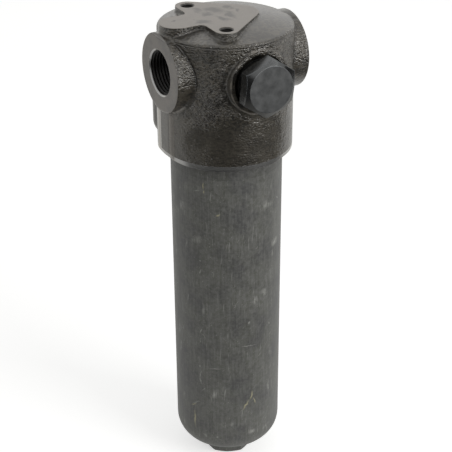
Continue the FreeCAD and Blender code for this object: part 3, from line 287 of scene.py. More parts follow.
def line_at(add, along, middle, core, edge, strength, blending="LINEAR"):
    """A line where along is middle, at its strength as far as core and gone past edge (in mm)."""
    off = combined(add, "SUBTRACT", along, MM * middle)
    away = add("Math", (off,), operation="ABSOLUTE")
    return add("MapRange", (away, MM * core, MM * edge, strength, 0.0),
               interpolation_type=blending)


def shaken(add, place, noise, reach):
    """A place moved sideways by up to half of reach (mm), as the noise has it."""
    moved = add("VectorMath", (noise.outputs["Color"], (MM * reach, MM * reach, 0.0), place),
                operation="MULTIPLY_ADD")
    back = (MM * reach / 2, MM * reach / 2, 0.0)
    return add("VectorMath", (moved, back), operation="SUBTRACT")


def turning_lines(add, along, pitch, depth):
    """Height of the fine lines that a lathe or mill leaves, repeated every pitch mm."""
    turns = combined(add, "MULTIPLY", along, 2 * math.pi / (MM * pitch))
    wave = add("Math", (turns,), operation="SINE")
    return combined(add, "MULTIPLY", wave, MM * depth)


def worn_edges(add, radius):
    """How near a sharp edge is, from 0 to 1, and the surface's direction rounded at edges.
    The radius is in metres, or a node."""
    rounded = add("Bevel", (radius,), samples=6)
    flat = add("NewGeometry")
    agree = add("VectorMath", (rounded, flat.outputs["Normal"]), operation="DOT_PRODUCT")
    edge = add("MapRange", (agree, 0.99, 0.8, 0.0, 1.0))
    return edge, rounded


def marked(add, spread, marks):
    """1 in the middle of marks that are each drawn once where they are, fading to 0 at their
    edges: two places along spread, length and width, all in mm, and tilt in degrees."""
    drawn = []
    for across, up, length, width, tilt in marks:
        there = add("Mapping", {
            "Vector": spread, "Location": (MM * across, MM * up, 0.0),
            "Rotation": (0.0, 0.0, math.radians(tilt)),
            "Scale": (MM * length / 2, MM * width / 2, 1.0)}, vector_type="TEXTURE")
        drawn.append(add("TexGradient", (there,), gradient_type="SPHERICAL").outputs["Fac"])
    return combined(add, "MAXIMUM", *drawn)


def dress(finish, *nodes):
    """Gives CAD nodes one finish in each of their material slots."""
    for node in nodes:
        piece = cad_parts[node]
        if not piece.material_slots:
            piece.data.materials.append(finish)
        for slot in piece.material_slots:
            slot.material = finish


def new_object(name, data):
    """A new object in the scene."""
    made = bpy.data.objects.new(name, data)
    bpy.context.scene.collection.objects.link(made)
    return made


# Finishes


def oil_blackened_cast_iron(head):
    """Sand-cast grey iron, blackened and oiled: a pebbled, wet-looking dark skin that glints on
    its crests, with painted shade in the corners and grooves. Milled and turned places are smooth,
    lighter and matt, and the rear edge of each side flat is painted light as a highlight. Light
    lines are painted as highlights along the feet of the port bosses and on the plug boss's lip,
    and on the slanted sides of the swells. The bores and the plug's recess are painted black as
    shade."""
    finish, add, place = new_finish("oil_blackened_cast_iron")
    parted = add("SeparateXYZ", (place,)).outputs
    sideways = add("Math", (parted["X"],), operation="ABSOLUTE")
    forwards = combined(add, "MULTIPLY", parted["Y"], -1.0)
    downwards = combined(add, "MULTIPLY", parted["Z"], -1.0)
    mirrored_y = add("Math", (parted["Y"],), operation="ABSOLUTE")
    mirrored = add("CombineXYZ", (parted["X"], mirrored_y, parted["Z"]))

    # Where a tool has cut the casting
    from_port = axis_distance(add, place, (0, 0, PORT_AXIS_HEIGHT), (0, 1, 1))
    from_plug = axis_distance(add, place, (0, 0, PORT_AXIS_HEIGHT), (1, 0, 1))
    from_bowl = axis_distance(add, place, (0, 0, 0), (1, 1, 0))
    from_hole = axis_distance(add, mirrored, (HOLE_X, HOLE_Y, 0), (1, 1, 0))
    port_face = zone(add, from_port, PORT_BOSS_RADIUS + 0.2, sideways, PORT_FACE_REACH - 0.2)
    port_bore = zone(add, from_port, PORT_THREAD_RADIUS + 0.3, sideways, PORT_THREAD_END - 1.0)
    port_mouth = zone(add, from_port, PORT_MOUTH_RADIUS + 0.1, sideways, PORT_THREAD_START - 0.5)
    recess = zone(add, from_plug, RECESS_RADIUS + 0.05, forwards, RECESS_END)
    pad_top = zone(add, from_bowl, FAR, parted["Z"], -0.2)
    hole = zone(add, from_hole, HOLE_RADIUS + 0.4, parted["Z"], -HOLE_DEPTH - 0.6)
    bowl_bore = zone(add, from_bowl, BOWL_RADIUS + 1.5, downwards, BOWL_BORE_TOP)
    rim_cone = zone(add, downwards, FAR, combined(add, "ADD", downwards, from_bowl), RIM_CONE)
    low_down = zone(add, downwards, FAR, downwards, SWELL_TOP)
    # The rear edge of each side flat goes with the turned places; its light bare colour there is a
    # painted highlight
    flat_edge = combined(add, "MULTIPLY", zone(add, sideways, FAR, sideways, FLAT_REACH),
                         zone(add, from_bowl, FAR, parted["Y"], FLAT_EDGE), low_down)
    turned = combined(add, "MAXIMUM", rim_cone, port_mouth, flat_edge)
    bores = combined(add, "MAXIMUM", port_bore, hole, recess)
    cut = combined(add, "MAXIMUM", port_face, pad_top, bowl_bore, turned, bores)
    cast = combined(add, "SUBTRACT", 1.0, cut)
    pad_face = combined(add, "MULTIPLY", pad_top, combined(add, "SUBTRACT", 1.0, hole))

    # The skin of the sand: pebbles, drawn 1.4 mm wide to show, in patches over slow waves. It is
    # coarsest on the upper half of the bosses, and smooth on the dome and low on the skirt
    grain = 1.0 / (MM * head.grain_size)
    flattened = add("Mapping", {"Vector": place, "Scale": (0.6, 0.6, 1.3)})
    pebbles = add("TexNoise", (flattened, grain, 2.0, 0.5))
    grit = add("TexNoise", (place, 1.3 * grain, 1.0, 0.5))
    waves = add("TexNoise", (place, 0.14 * grain, 2.0, 0.5))
    patches = add("TexNoise", (place, 0.1 * grain, 3.0, 0.55))
    patch = add("MapRange", (patches, 0.38, 0.6, 0.5, 1.1))
    pits = add("TexVoronoi", (place, 0.25 * grain))
    pit = add("MapRange", (pits, 0.04, 0.13, -0.8, 0.0))
    bosses = combined(
        add, "MAXIMUM", zone(add, from_port, PORT_BOSS_RADIUS, sideways, PORT_BOSS_START),
        zone(add, from_plug, PLUG_BOSS_RADIUS + 2.5, forwards, PLUG_BOSS_START))
    upper_half = (MM * (PORT_AXIS_HEIGHT - 7.0), MM * PORT_AXIS_HEIGHT)
    on_boss = add("MapRange", (parted["Z"], *upper_half, 0.25, 0.8))
    on_wall = add("MapRange", (parted["Z"], MM * -68.0, MM * -46.0, 0.3, 1.0))
    wall = add("Mix", (bosses, on_wall, on_boss), data_type="FLOAT")
    towards_inlet = add("MapRange", (parted["X"], MM * -22.0, MM * 4.0, 0.4, 0.1))
    facing = add("NewGeometry").outputs["Normal"]
    rise = add("VectorMath", (facing, UP), operation="DOT_PRODUCT")
    on_dome = add("MapRange", (rise, 0.85, 0.97))
    sideways_turn = add("VectorMath", (facing, (1.0, 0.0, 0.0)), operation="DOT_PRODUCT")
    squareness = add("Math", (sideways_turn,), operation="ABSOLUTE")
    oblique = add("Math", (squareness, 0.97), operation="LESS_THAN")
    side_grain = add("MapRange", (squareness, 0.93, 0.99, 1.0, 0.4))
    dome = add("Mix", (on_dome, 1.0, towards_inlet), data_type="FLOAT")
    rough_cast = combined(add, "MULTIPLY", wall, dome, side_grain, patch, cast)
    small = add("Math", (grit, 0.5, pebbles), operation="MULTIPLY_ADD")
    wavy = add("Math", (waves, 0.5, combined(add, "ADD", small, pit)), operation="MULTIPLY_ADD")
    skin_height = combined(add, "MULTIPLY", wavy, rough_cast, MM * head.grain_depth)

    # The cleft that the mould left along the foot of each port boss, on its upper half, and a line
    # along the dome's edge: both are sunk as grooves, and below they are painted black as painted
    # shade
    narrow = line_at(add, from_port, PORT_BOSS_CLEFT, 0.35, 0.85, 1.0, "SMOOTHSTEP")
    cleft_start = add("MapRange", (parted["Z"], *upper_half))
    cleft_end = add("MapRange", (parted["Z"], MM * -10.0, MM * -7.0, 1.0, 0.0))
    beside_port = add("Math", (sideways, MM * 34.0), operation="GREATER_THAN")
    cleft = combined(add, "MULTIPLY", narrow, cleft_start, cleft_end, beside_port, cast)
    dome_edge_line = line_at(add, parted["Z"], -DOME_EDGE, 0.1, 0.8, 0.45, "SMOOTHSTEP")
    grooves = combined(add, "MAXIMUM", cleft, dome_edge_line)
    groove_height = combined(add, "MULTIPLY", grooves, MM * -0.8)

    # Tool lines, drawn 0.9 mm apart where the real 0.2 mm would be too fine to show
    face_lines = combined(add, "MULTIPLY", turning_lines(add, from_port, 0.9, 0.006), port_face)
    pad_lines = combined(add, "MULTIPLY", turning_lines(add, parted["X"], 0.9, 0.003), pad_top)
    bore_lines = combined(add, "MULTIPLY", turning_lines(add, parted["Z"], 2.0, 0.22), bowl_bore)
    heights = combined(add, "ADD", skin_height, groove_height, face_lines, pad_lines, bore_lines)

    # Colour: brown-black skin, lighter milled iron with oil stains, bare metal on the edges, and
    # painted highlights in light lines; painted shade, black, in the bores, the grooves and the
    # corners
    stains = add("TexNoise", (place, 1.0 / (MM * 13.0), 4.0, 0.62))
    stained = add("MapRange", (stains, 0.44, 0.6))
    crests = add("MapRange", (pebbles, 0.35, 0.65, -0.9, 0.8))
    dried = combined(add, "ADD", crests, stained)
    even = add("Mix", (on_wall, 0.5, dried), data_type="FLOAT")
    skin_colour = add("Mix", (even, head.skin_colour, head.crest_colour), data_type="RGBA")
    ragged = shaken(add, place, stains, 16.0)
    smudges = combined(add, "MULTIPLY", marked(add, ragged, PAD_STAINS), stains, pad_top)
    faintly = combined(add, "MULTIPLY", stained, 0.12)
    smudged = add("Math", (smudges, 3.0, faintly), operation="MULTIPLY_ADD", use_clamp=True)
    cut_colour = add("Mix", (stained, head.milled_colour, head.stain_colour), data_type="RGBA")
    pad_colour = add("Mix", (smudged, linear("6A6560"), linear("2F2C29")), data_type="RGBA")
    either = add("Mix", (pad_face, cut_colour, pad_colour), data_type="RGBA")
    milled = add("Mix", (cut, skin_colour, either), data_type="RGBA")
    # Lighter bare metal on the turned places; on the side flat's rear edge this is a painted
    # highlight
    bare_cut_and_highlight = add("Mix", (turned, milled, linear("999A9B")), data_type="RGBA")
    softer_low = add("MapRange", (parted["Z"], MM * -58.0, MM * -52.0, MM * 2.5, MM * 0.5))
    edge, rounded = worn_edges(add, softer_low)
    patchy = combined(add, "MULTIPLY", edge, pebbles)
    # Light lines in the bare-iron colour: painted highlights along the lower foot of each port
    # boss and on the plug boss's lip, and a light line on the slanted sides of the swells
    slant = combined(add, "MULTIPLY", zone(add, mirrored_y, 9.9, mirrored_y, 6.7),
                     zone(add, sideways, FAR, sideways, SWELL_EDGE), low_down)
    off_boss = add("MapRange", (from_port, MM * 27.6, MM * 29.4, 1.0, 0.0))
    boss_foot = combined(
        add, "MULTIPLY", off_boss, zone(add, sideways, 49.8, sideways, PORT_BOSS_START),
        zone(add, downwards, FAR, downwards, 52.0), zone(add, from_bowl, FAR, from_port, 27.5))
    boss_lip = combined(
        add, "MULTIPLY",
        zone(add, from_plug, PLUG_BOSS_RADIUS + 1.0, from_plug, PLUG_BOSS_RADIUS - 0.7),
        zone(add, from_bowl, FAR, forwards, PLUG_BOSS_LIP), stained)
    light_lines = combined(add, "MULTIPLY",
                          combined(add, "MAXIMUM", slant, boss_foot, boss_lip), 0.5)
    worn_and_highlit = add("Mix", (combined(add, "MAXIMUM", patchy, light_lines), bare_cut_and_highlight,
                       head.bare_and_highlight_colour), data_type="RGBA")
    # Painted shade: ambient occlusion darkens the concave corners, and these corners, the grooves,
    # the bores and the plug's recess are painted near black
    open_sky = add("AmbientOcclusion", {"Distance": MM * 4.0}, samples=4, only_local=True)
    corner = add("MapRange", (open_sky.outputs["AO"], 0.5, 0.95, 0.9, 0.0))
    black = combined(add, "MAXIMUM", corner, grooves, bores)
    colour = add("Mix", (black, worn_and_highlit, linear("0D0B0A")), data_type="RGBA")

    rough_or_turned = combined(add, "MAXIMUM", rough_cast, turned)
    dull_skin = add("MapRange", (rough_or_turned, 0.0, 0.9, 0.46, 0.24))
    mottled = add("Math", (grit, 0.12, dull_skin), operation="MULTIPLY_ADD")

    # The rim's cone and the slanted sides of the swells catch the light as if they were upright
    outwards = add("VectorMath", (place, (1.0, 1.0, 0.0)), operation="MULTIPLY")
    level = add("VectorTransform", (outwards,), vector_type="NORMAL",
                convert_from="OBJECT", convert_to="WORLD")
    off_bore = add("Math", (from_bowl, MM * (BOWL_RADIUS + 3.0)), operation="GREATER_THAN")
    blended = combined(add, "MULTIPLY", zone(add, downwards, FAR, sideways, SWELL_SIDE),
                       low_down, oblique)
    upright = combined(add, "MAXIMUM", combined(add, "MULTIPLY", rim_cone, off_bore), blended)
    rolled = add("Mix", (upright, rounded, level), data_type="VECTOR")
    bump = add("Bump", {"Strength": 1.0, "Distance": 1.0, "Height": heights, "Normal": rolled})
    metal = combined(add, "MAXIMUM", combined(add, "MULTIPLY", turned, 0.85),
                     combined(add, "MULTIPLY", pad_face, 0.65))
    shade(add, {
        "Coat Weight": 0.55, "Coat Roughness": 0.12, "Coat Tint": (1.0, 0.97, 0.91, 1.0),
        "Specular IOR Level": 0.7, "Specular Tint": (1.0, 0.98, 0.94, 1.0), "Metallic": metal,
        "Base Color": colour, "Roughness": mottled, "Normal": bump, "Coat Normal": bump})
    return finish


def tapped_iron(head):
    """Tapped threads in the iron, black with oil: only their crests catch a little light."""
    finish, add, place = new_finish("tapped_iron")
    _, colour, dull = clouded(add, place, 2.0, (3.0,), (linear("0B0A09"), head.skin_colour),
                              (0.42, 0.6))
    shade(add, {"Specular IOR Level": 0.3, "Base Color": colour, "Roughness": dull})
    return finish


def phosphated_steel(bowl):
    """Cold-drawn steel tube with a dull grey phosphate coat: faint streaks down its length,
    mottled by the crystals of the coat, with pale and yellowish scratches from handling."""
    finish, add, place = new_finish("phosphated_steel")
    parted = add("SeparateXYZ", (place,)).outputs
    drawn = add("Mapping", {"Vector": place, "Scale": (1.0, 1.0, 0.06)})
    streaks = add("TexNoise", (drawn, 1.0 / (MM * bowl.streak_width), 2.0, 0.6))
    crystals = add("TexNoise", (place, 1.0 / (MM * 2.4), 3.0, 0.6))
    clouds = add("TexNoise", (place, 1.0 / (MM * 18.0), 5.0, 0.6))
    grained = add("Math", (streaks, 0.6, crystals), operation="MULTIPLY_ADD")
    mixed = add("Math", (clouds, 0.7, grained), operation="MULTIPLY_ADD")
    tone = add("MapRange", (mixed, 0.94, 1.38))
    hue = add("MapRange", (clouds, 0.38, 0.62))
    coat = add("Mix", (hue, bowl.coat_colour, bowl.olive_colour), data_type="RGBA")
    streaked = add("Mix", (tone, coat, bowl.streak_colour), data_type="RGBA")

    # Fine scratches all round, a few down the tube and fewer across it
    fine = []
    for lean, turn, least in ((0.05, 0.3, 0.66), (0.6, 1.1, 0.68), (-0.9, 2.3, 0.68)):
        laid = add("Mapping", {
            "Vector": place, "Rotation": (lean, lean, turn), "Scale": (1.0, 1.0, 14.0)},
            vector_type="TEXTURE")
        thin = add("TexNoise", (laid, 1.0 / (MM * 0.9), 1.0))
        fine.append(add("MapRange", (thin, least, least + 0.12)))
    handled = add("MapRange", (clouds, 0.45, 0.6, 0.2, 0.7))
    rubs = combined(add, "MULTIPLY", combined(add, "MAXIMUM", *fine), handled)

    # The scratches that stand out, on the surface rolled out flat from the front
    forwards = combined(add, "MULTIPLY", parted["Y"], -1.0)
    turn = add("Math", (parted["X"], forwards), operation="ARCTAN2")
    girth = combined(add, "MULTIPLY", turn, MM * BOWL_RADIUS)
    flat = add("CombineXYZ", (girth, parted["Z"]))
    unsteady = add("TexNoise", (place, 1.0 / (MM * 4.0), 2.0))
    spread = shaken(add, flat, unsteady, 3.0)
    broken = add("MapRange", (streaks, 0.42, 0.62, 0.1))
    touched = add("MapRange", (crystals, 0.38, 0.52, 0.35))
    pale = combined(add, "MULTIPLY", marked(add, spread, PALE_SCRATCHES), touched)
    rubbed = combined(add, "MULTIPLY", marked(add, spread, FAINT_RUBS), touched, broken)
    yellow = marked(add, spread, YELLOW_SCRATCHES)
    dry = combined(add, "MAXIMUM", pale, rubs, rubbed)
    scratched = add("Mix", (dry, streaked, bowl.scratch_colour), data_type="RGBA")
    stained = add("Mix", (yellow, scratched, bowl.yellow_colour), data_type="RGBA")
    edge, rounded = worn_edges(add, MM * 0.5)
    bare = add("Mix", (edge, stained, linear("8E8C86")), data_type="RGBA")
    # Painted shade under the head's rim: the bowl is darker within about 8 mm of it. A faint,
    # patchy dark line runs 8.6 mm below the rim
    rim_shade = add("MapRange", (parted["Z"], MM * (SKIRT_RIM - 9.5), MM * (SKIRT_RIM - 7.5),
                             0.0, 0.18))
    dark_line = line_at(add, parted["Z"], SKIRT_RIM - 8.6, 0.3, 1.0, 0.42)
    darker_under_rim = combined(add, "MAXIMUM", rim_shade, combined(add, "MULTIPLY", dark_line, hue))
    colour = add("Mix", (darker_under_rim, bare, linear("23211F")), data_type="RGBA")
    dull = add("MapRange", (crystals, 0.3, 0.7, 0.44, 0.6))

    # The thread under the rim, drawn as rings at its own 2 mm pitch
    from_axis = axis_distance(add, place, (0, 0, 0), (1, 1, 0))
    outside = add("Math", (from_axis, MM * (BOWL_RADIUS - 2.0)), operation="GREATER_THAN")
    under = zone(add, parted["Z"], BOWL_THREAD_TOP, parted["Z"], BOWL_THREAD_FOOT)
    thread = combined(add, "MULTIPLY", turning_lines(add, parted["Z"], 2.0, 0.3), under, outside)
    heights = combined(add, "ADD", combined(add, "MULTIPLY", streaks, MM * 0.03),
                       combined(add, "MULTIPLY", crystals, MM * 0.05), thread)
    shade(add, {"Base Color": colour, "Roughness": dull}, heights, rounded)
    return finish


def black_oxide_steel(plug):
    """Turned steel, black-oxidised: glossy dark sides and chamfer, a satin blue-grey front where
    the wrench and the lathe have polished the coat, and a painted highlight, lighter grey, on the
    lower part of the chamfer."""
    finish, add, place = new_finish("black_oxide_steel")
    parted = add("SeparateXYZ", (place,)).outputs
    face = add("Math", (parted["Y"], MM * (PLUG_FRONT + 0.08)), operation="LESS_THAN")
    # Painted highlight: the lower part of the chamfer is coloured lighter, as if lit from below
    lit_low = add("MapRange", (parted["Z"], MM * (PORT_AXIS_HEIGHT - 1.0),
                                  MM * (PORT_AXIS_HEIGHT - 7.0), 0.0, 1.0))
    chamfer = add("Math", (parted["Y"], MM * (PLUG_FRONT + 3.2)), operation="LESS_THAN")
    front = combined(add, "MAXIMUM", face, combined(add, "MULTIPLY", lit_low, chamfer))
    mottle = add("TexNoise", (place, 1.0 / (MM * 7.0), 4.0, 0.55))
    tone = add("MapRange", (mottle, 0.35, 0.65))
    satin = add("Mix", (tone, plug.front_colour, plug.mottle_colour), data_type="RGBA")
    # The face is satin; the lower chamfer gets a plain lighter grey as its painted highlight
    polished = add("Mix", (face, linear("696967"), satin), data_type="RGBA")
    colour = add("Mix", (front, plug.coat_colour, polished), data_type="RGBA")
    edge, rounded = worn_edges(add, MM * 0.4)
    bright = add("Mix", (edge, colour, linear("7A7F84")), data_type="RGBA")
    from_axis = axis_distance(add, place, (0, 0, PORT_AXIS_HEIGHT), (1, 0, 1))
    rings = combined(add, "MULTIPLY", turning_lines(add, from_axis, 0.8, 0.002), face)
    gloss = add("MapRange", (mottle, 0.3, 0.7, 0.14, 0.24))
    dull = add("Math", (front, 0.28, gloss), operation="MULTIPLY_ADD")
    shade(add, {"Metallic": 0.9, "Base Color": bright, "Roughness": dull}, rings, rounded)
    return finish


def bright_turned_steel(inside):
    """Free-cutting steel as it leaves the lathe: bright, with fine rings round its axis."""
    finish, add, place = new_finish("bright_turned_steel")
    parted = add("SeparateXYZ", (place,)).outputs
    _, colour, dull = clouded(add, place, 6.0, (3.0,), (inside.turned_colour, linear("8F8A80")),
                              (0.20, 0.32))
    shade(add, {"Metallic": 1.0, "Anisotropic": 0.4, "Base Color": colour, "Roughness": dull},
          turning_lines(add, parted["Z"], 0.5, 0.002))
    return finish


def zinc_plated_sheet(inside):
    """Pressed sheet with an electroplated zinc coat: pale, faintly blue and a little cloudy."""
    finish, add, place = new_finish("zinc_plated_sheet")
    cloud, colour, dull = clouded(add, place, 5.0, (5.0, 0.65),
                                  (inside.zinc_colour, linear("8F9AA3")), (0.26, 0.46))
    shade(add, {"Metallic": 1.0, "Base Color": colour, "Roughness": dull},
          combined(add, "MULTIPLY", cloud, MM * 0.03))
    return finish


def patented_spring_wire(inside):
    """Hard-drawn spring wire, oiled: dark and smooth, with faint lines from the drawing die."""
    finish, add, place = new_finish("patented_spring_wire")
    parted = add("SeparateXYZ", (place,)).outputs
    squashed = add("Mapping", {"Vector": place, "Scale": (0.2, 0.2, 1.0)})
    lines = add("TexNoise", (squashed, 1.0 / (MM * 0.25), 2.0))
    colour = add("Mix", (lines, inside.wire_colour, linear("8A8178")), data_type="RGBA")
    dull = add("MapRange", (parted["Z"], MM * -70.0, MM * -30.0, 0.28, 0.34))
    shade(add, {"Metallic": 1.0, "Base Color": colour, "Roughness": dull},
          combined(add, "MULTIPLY", lines, MM * 0.01))
    return finish


def nitrile_rubber(seals):
    """Moulded nitrile, greased for fitting: near black, soft sheen, a faint mould line's grain."""
    finish, add, place = new_finish("nitrile_rubber")
    _, colour, dull = clouded(add, place, 3.0, (4.0, 0.6),
                              (seals.rubber_colour, linear("2A2A29")), (0.45, 0.65))
    grain = add("TexNoise", (place, 1.0 / (MM * 0.3), 2.0))
    shade(add, {"Coat Weight": 0.25, "Coat Roughness": 0.3, "Base Color": colour,
                "Roughness": dull}, combined(add, "MULTIPLY", grain, MM * 0.008))
    return finish


def bonded_seal_finish(seals):
    """A plated steel washer with a black rubber lip vulcanised into its bore."""
    finish, add, place = new_finish("bonded_seal")
    low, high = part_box("plug_bonded_seal")
    outer = (high.x - low.x) / 2 / MM
    from_axis = axis_distance(add, place, (0, 0, PORT_AXIS_HEIGHT), (1, 0, 1))
    metal = add("Math", (from_axis, MM * (outer - 2.2)), operation="GREATER_THAN")
    cloud = add("TexNoise", (place, 1.0 / (MM * 2.0), 4.0))
    plated = add("Mix", (cloud, linear("4A4842"), linear("36342F")), data_type="RGBA")
    colour = add("Mix", (metal, seals.rubber_colour, plated), data_type="RGBA")
    dull = add("MapRange", (metal, 0.0, 1.0, 0.55, 0.32))
    shade(add, {"Metallic": metal, "Base Color": colour, "Roughness": dull},
          combined(add, "MULTIPLY", cloud, MM * 0.01))
    return finish


def skived_ptfe(seals):
    """PTFE skived from a billet: waxy white, faintly see-through, with very fine turning lines."""
    finish, add, place = new_finish("skived_ptfe")
    _, colour, dull = clouded(add, place, 4.0, (3.0,), (seals.ptfe_colour, linear("D9D6CB")),
                              (0.32, 0.45))
    from_axis = axis_distance(add, place, (0, 0, 0), (1, 1, 0))
    shade(add, {"IOR": 1.35, "Subsurface Weight": 0.15, "Subsurface Scale": MM * 2.0,
                "Base Color": colour, "Roughness": dull},
          turning_lines(add, from_axis, 0.3, 0.002))
    return finish


def woven_wire_cloth(inside):
    """Plain-woven stainless wire: crossing wires, bright on the crowns and darkening into painted
    shade in the gaps between them.
    The wires are drawn 0.8 mm apart, since the real 0.3 mm cloth would be too fine to show."""
    finish, add, place = new_finish("woven_wire_cloth")
    parted = add("SeparateXYZ", (place,)).outputs
    from_axis = axis_distance(add, place, (0, 0, 0), (1, 1, 0))
    along = turning_lines(add, parted["Z"], inside.cloth_pitch, 1.0)
    round_wires = turning_lines(add, from_axis, inside.cloth_pitch, 1.0)
    crossing = combined(add, "MAXIMUM", along, round_wires)
    open_gap = add("MapRange", (crossing, MM * -0.3, MM * 0.6))
    # Painted shade: the wires darken from their crowns towards the gaps, which are near black
    colour = add("Mix", (open_gap, linear("3A3834"), inside.cloth_colour), data_type="RGBA")
    dull = add("MapRange", (open_gap, 0.0, 1.0, 0.6, 0.28))
    shade(add, {"Metallic": 1.0, "Base Color": colour, "Roughness": dull},
          combined(add, "MULTIPLY", crossing, 0.12))
    return finish


def glass_fibre_felt(inside):
    """Resin-bonded glass fibre: cream, dry and matt, with short fibres lying every way."""
    finish, add, place = new_finish("glass_fibre_felt")
    layers = []
    for turn in (0.3, 1.4, 2.5):
        laid = add("Mapping", {"Vector": place, "Rotation": (turn, 0.7 * turn, 1.9 * turn),
                               "Scale": (1.0, 0.1, 1.0)})
        layers.append(add("TexNoise", (laid, 1.0 / (MM * 0.35), 2.0)))
    mat = combined(add, "MAXIMUM", *layers)
    tone = add("MapRange", (mat, 0.45, 0.7))
    colour = add("Mix", (tone, inside.felt_colour, linear("F3EDDD")), data_type="RGBA")
    dull = add("MapRange", (tone, 0.0, 1.0, 0.95, 0.75))
    shade(add, {"Sheen Weight": 0.3, "Sheen Roughness": 0.5, "Base Color": colour,
                "Roughness": dull}, combined(add, "MULTIPLY", mat, MM * 0.15))
    return finish


# Threads


def thread_tree():
    """Node tree of a cut thread: a ridge that winds up a bore, repeated along a line."""
    tree = bpy.data.node_groups.new("cut_thread", "GeometryNodeTree")
    add = partial(add_node, tree)
    for name, kind in (
        ("Bore Radius", "Float"), ("Ridge", "Float"), ("Pitch", "Float"), ("Length", "Float"),
        ("Steps a Turn", "Int"), ("Count", "Int"), ("First Place", "Vector"),
        ("Step to the Next", "Vector"), ("Turn", "Vector"), ("Finish", "Material"),
    ):
        tree.interface.new_socket(name, in_out="INPUT", socket_type="NodeSocket" + kind)
    tree.interface.new_socket("Thread", in_out="OUTPUT", socket_type="NodeSocketGeometry")
    given = add("NodeGroupInput").outputs

    # The ridge's path
    turns = add("Math", (given["Length"], given["Pitch"]), operation="DIVIDE")
    path = add("GeometryNodeCurveSpiral", {
        "Resolution": given["Steps a Turn"], "Rotations": turns, "Height": given["Length"],
        "Start Radius": given["Bore Radius"], "End Radius": given["Bore Radius"]})
    upright = add("GeometryNodeSetCurveNormal", (path,), mode="Z_UP")

    # Its section: a V with a flat crest, its foot just inside the wall
    behind = MM * -0.04
    corners = {}
    for number, (inwards, share) in enumerate((
            (behind, -0.44), (given["Ridge"], -0.07), (given["Ridge"], 0.07), (behind, 0.44))):
        along = combined(add, "MULTIPLY", given["Pitch"], share)
        corners[f"Point {number + 1}"] = add("CombineXYZ", (inwards, along))
    section = add("GeometryNodeCurvePrimitiveQuadrilateral", corners, mode="POINTS")

    # It starts and ends thin, as a tap leaves it
    where = add("GeometryNodeSplineParameter").outputs["Factor"]
    nearer = combined(add, "MINIMUM", where, combined(add, "SUBTRACT", 1.0, where))
    fullness = add("MapRange", (nearer, 0.0, 0.05, 0.05))
    ridge = add("GeometryNodeCurveToMesh", {
        "Curve": upright, "Profile Curve": section, "Scale": fullness, "Fill Caps": True})

    places = add("GeometryNodeMeshLine", {
        "Count": given["Count"], "Start Location": given["First Place"],
        "Offset": given["Step to the Next"]}, mode="OFFSET")
    copies = add("GeometryNodeInstanceOnPoints", {
        "Points": places, "Instance": ridge, "Rotation": given["Turn"]})
    real = add("GeometryNodeRealizeInstances", (copies,))
    smooth = add("GeometryNodeSetShadeSmooth", {0: real, "Shade Smooth": False})
    dressed = add("GeometryNodeSetMaterial", {0: smooth, "Material": given["Finish"]})
    add("NodeGroupOutput", (dressed,))
    return tree


def grown(name, tree, values):
    """Runs a node tree with these values and returns the result as a plain mesh object."""
    piece = new_object(name, bpy.data.meshes.new(name))
    growing = piece.modifiers.new(tree.name, "NODES")
    growing.node_group = tree
    for socket in tree.interface.items_tree:
        if socket.in_out == "INPUT":
            growing[socket.identifier] = values[socket.name]
    evaluated = piece.evaluated_get(bpy.context.evaluated_depsgraph_get())
    mesh = bpy.data.meshes.new_from_object(evaluated)
    piece.modifiers.remove(growing)
    piece.data = mesh
    mesh.name = name
    if not mesh.polygons:
        raise RuntimeError(f"{name} came out empty")
    return piece


# Sizes and colours


def tint(name, description, hex_colour):
    """A colour that a user may change."""
    return FloatVectorProperty(
        name=name, description=description, size=4, subtype="COLOR", default=linear(hex_colour),
        min=0.0, max=1.0)


def amount(name, description, default, low, high, subtype="NONE"):
    """A size or strength that a user may change, from low to high."""
    return FloatProperty(
        name=name, description=description, default=default, min=low, max=high, subtype=subtype)


class HeadSettings(bpy.types.PropertyGroup):
    grain_size: amount("Grain size", "Width of a pebble of the cast skin, in mm", 1.4, 0.2, 6.0)
    grain_depth: amount("Grain depth", "Height of the skin's pebbles, in mm", 1.2, 0.0, 3.0)
    skin_colour: tint("Skin", "Blackened cast skin", "13110E")
    crest_colour: tint("Dry skin", "Where the oil has dried off", "3B372F")
    milled_colour: tint("Milled", "Milled and turned iron under its dark coat", "4C4640")
    stain_colour: tint("Oil stain", "Cloudy stains on the milled faces", "302C28")
    # This colour also paints the highlight lines at the port bosses' feet and on the plug boss's
    # lip
    bare_and_highlight_colour: tint("Bare iron", "Worn edges and lines", "8B8680")


class ThreadSettings(bpy.types.PropertyGroup):
    port_pitch: amount("Port pitch", "Pitch of the ports' pipe thread, in mm", 2.309, 0.5, 6.0)
    port_ridge: amount("Port ridge", "How far the pipe thread stands in, in mm", 0.7, 0.1, 2.0)
    hole_pitch: amount("Hole pitch", "Pitch of the mounting holes' thread, in mm", 1.5, 0.3, 4.0)
    hole_ridge: amount("Hole ridge", "How far that thread stands in, in mm", 0.45, 0.1, 1.5)
    steps: IntProperty(
        name="Steps a turn", description="Straight pieces in one turn of a thread",
        default=56, min=12, max=128)


class BowlSettings(bpy.types.PropertyGroup):
    streak_width: amount("Streak width", "Width of the tube's streaks, in mm", 1.4, 0.2, 10.0)
    coat_colour: tint("Coat", "Phosphate coat", "4A4A49")
    olive_colour: tint("Olive coat", "Patches where the coat is greener", "4F5048")
    streak_colour: tint("Streak", "Lighter streaks and crystals of the coat", "646461")
    scratch_colour: tint("Scratch", "Dry scratches", "93938E")
    yellow_colour: tint("Yellow scratch", "Scratches with a yellowish deposit", "A39D80")


class PlugSettings(bpy.types.PropertyGroup):
    coat_colour: tint("Coat", "Black oxide on the sides", "545555")
    front_colour: tint("Front", "Satin front", "5A5B5B")
    mottle_colour: tint("Mottle", "Lighter clouds on the front", "6C6D6D")


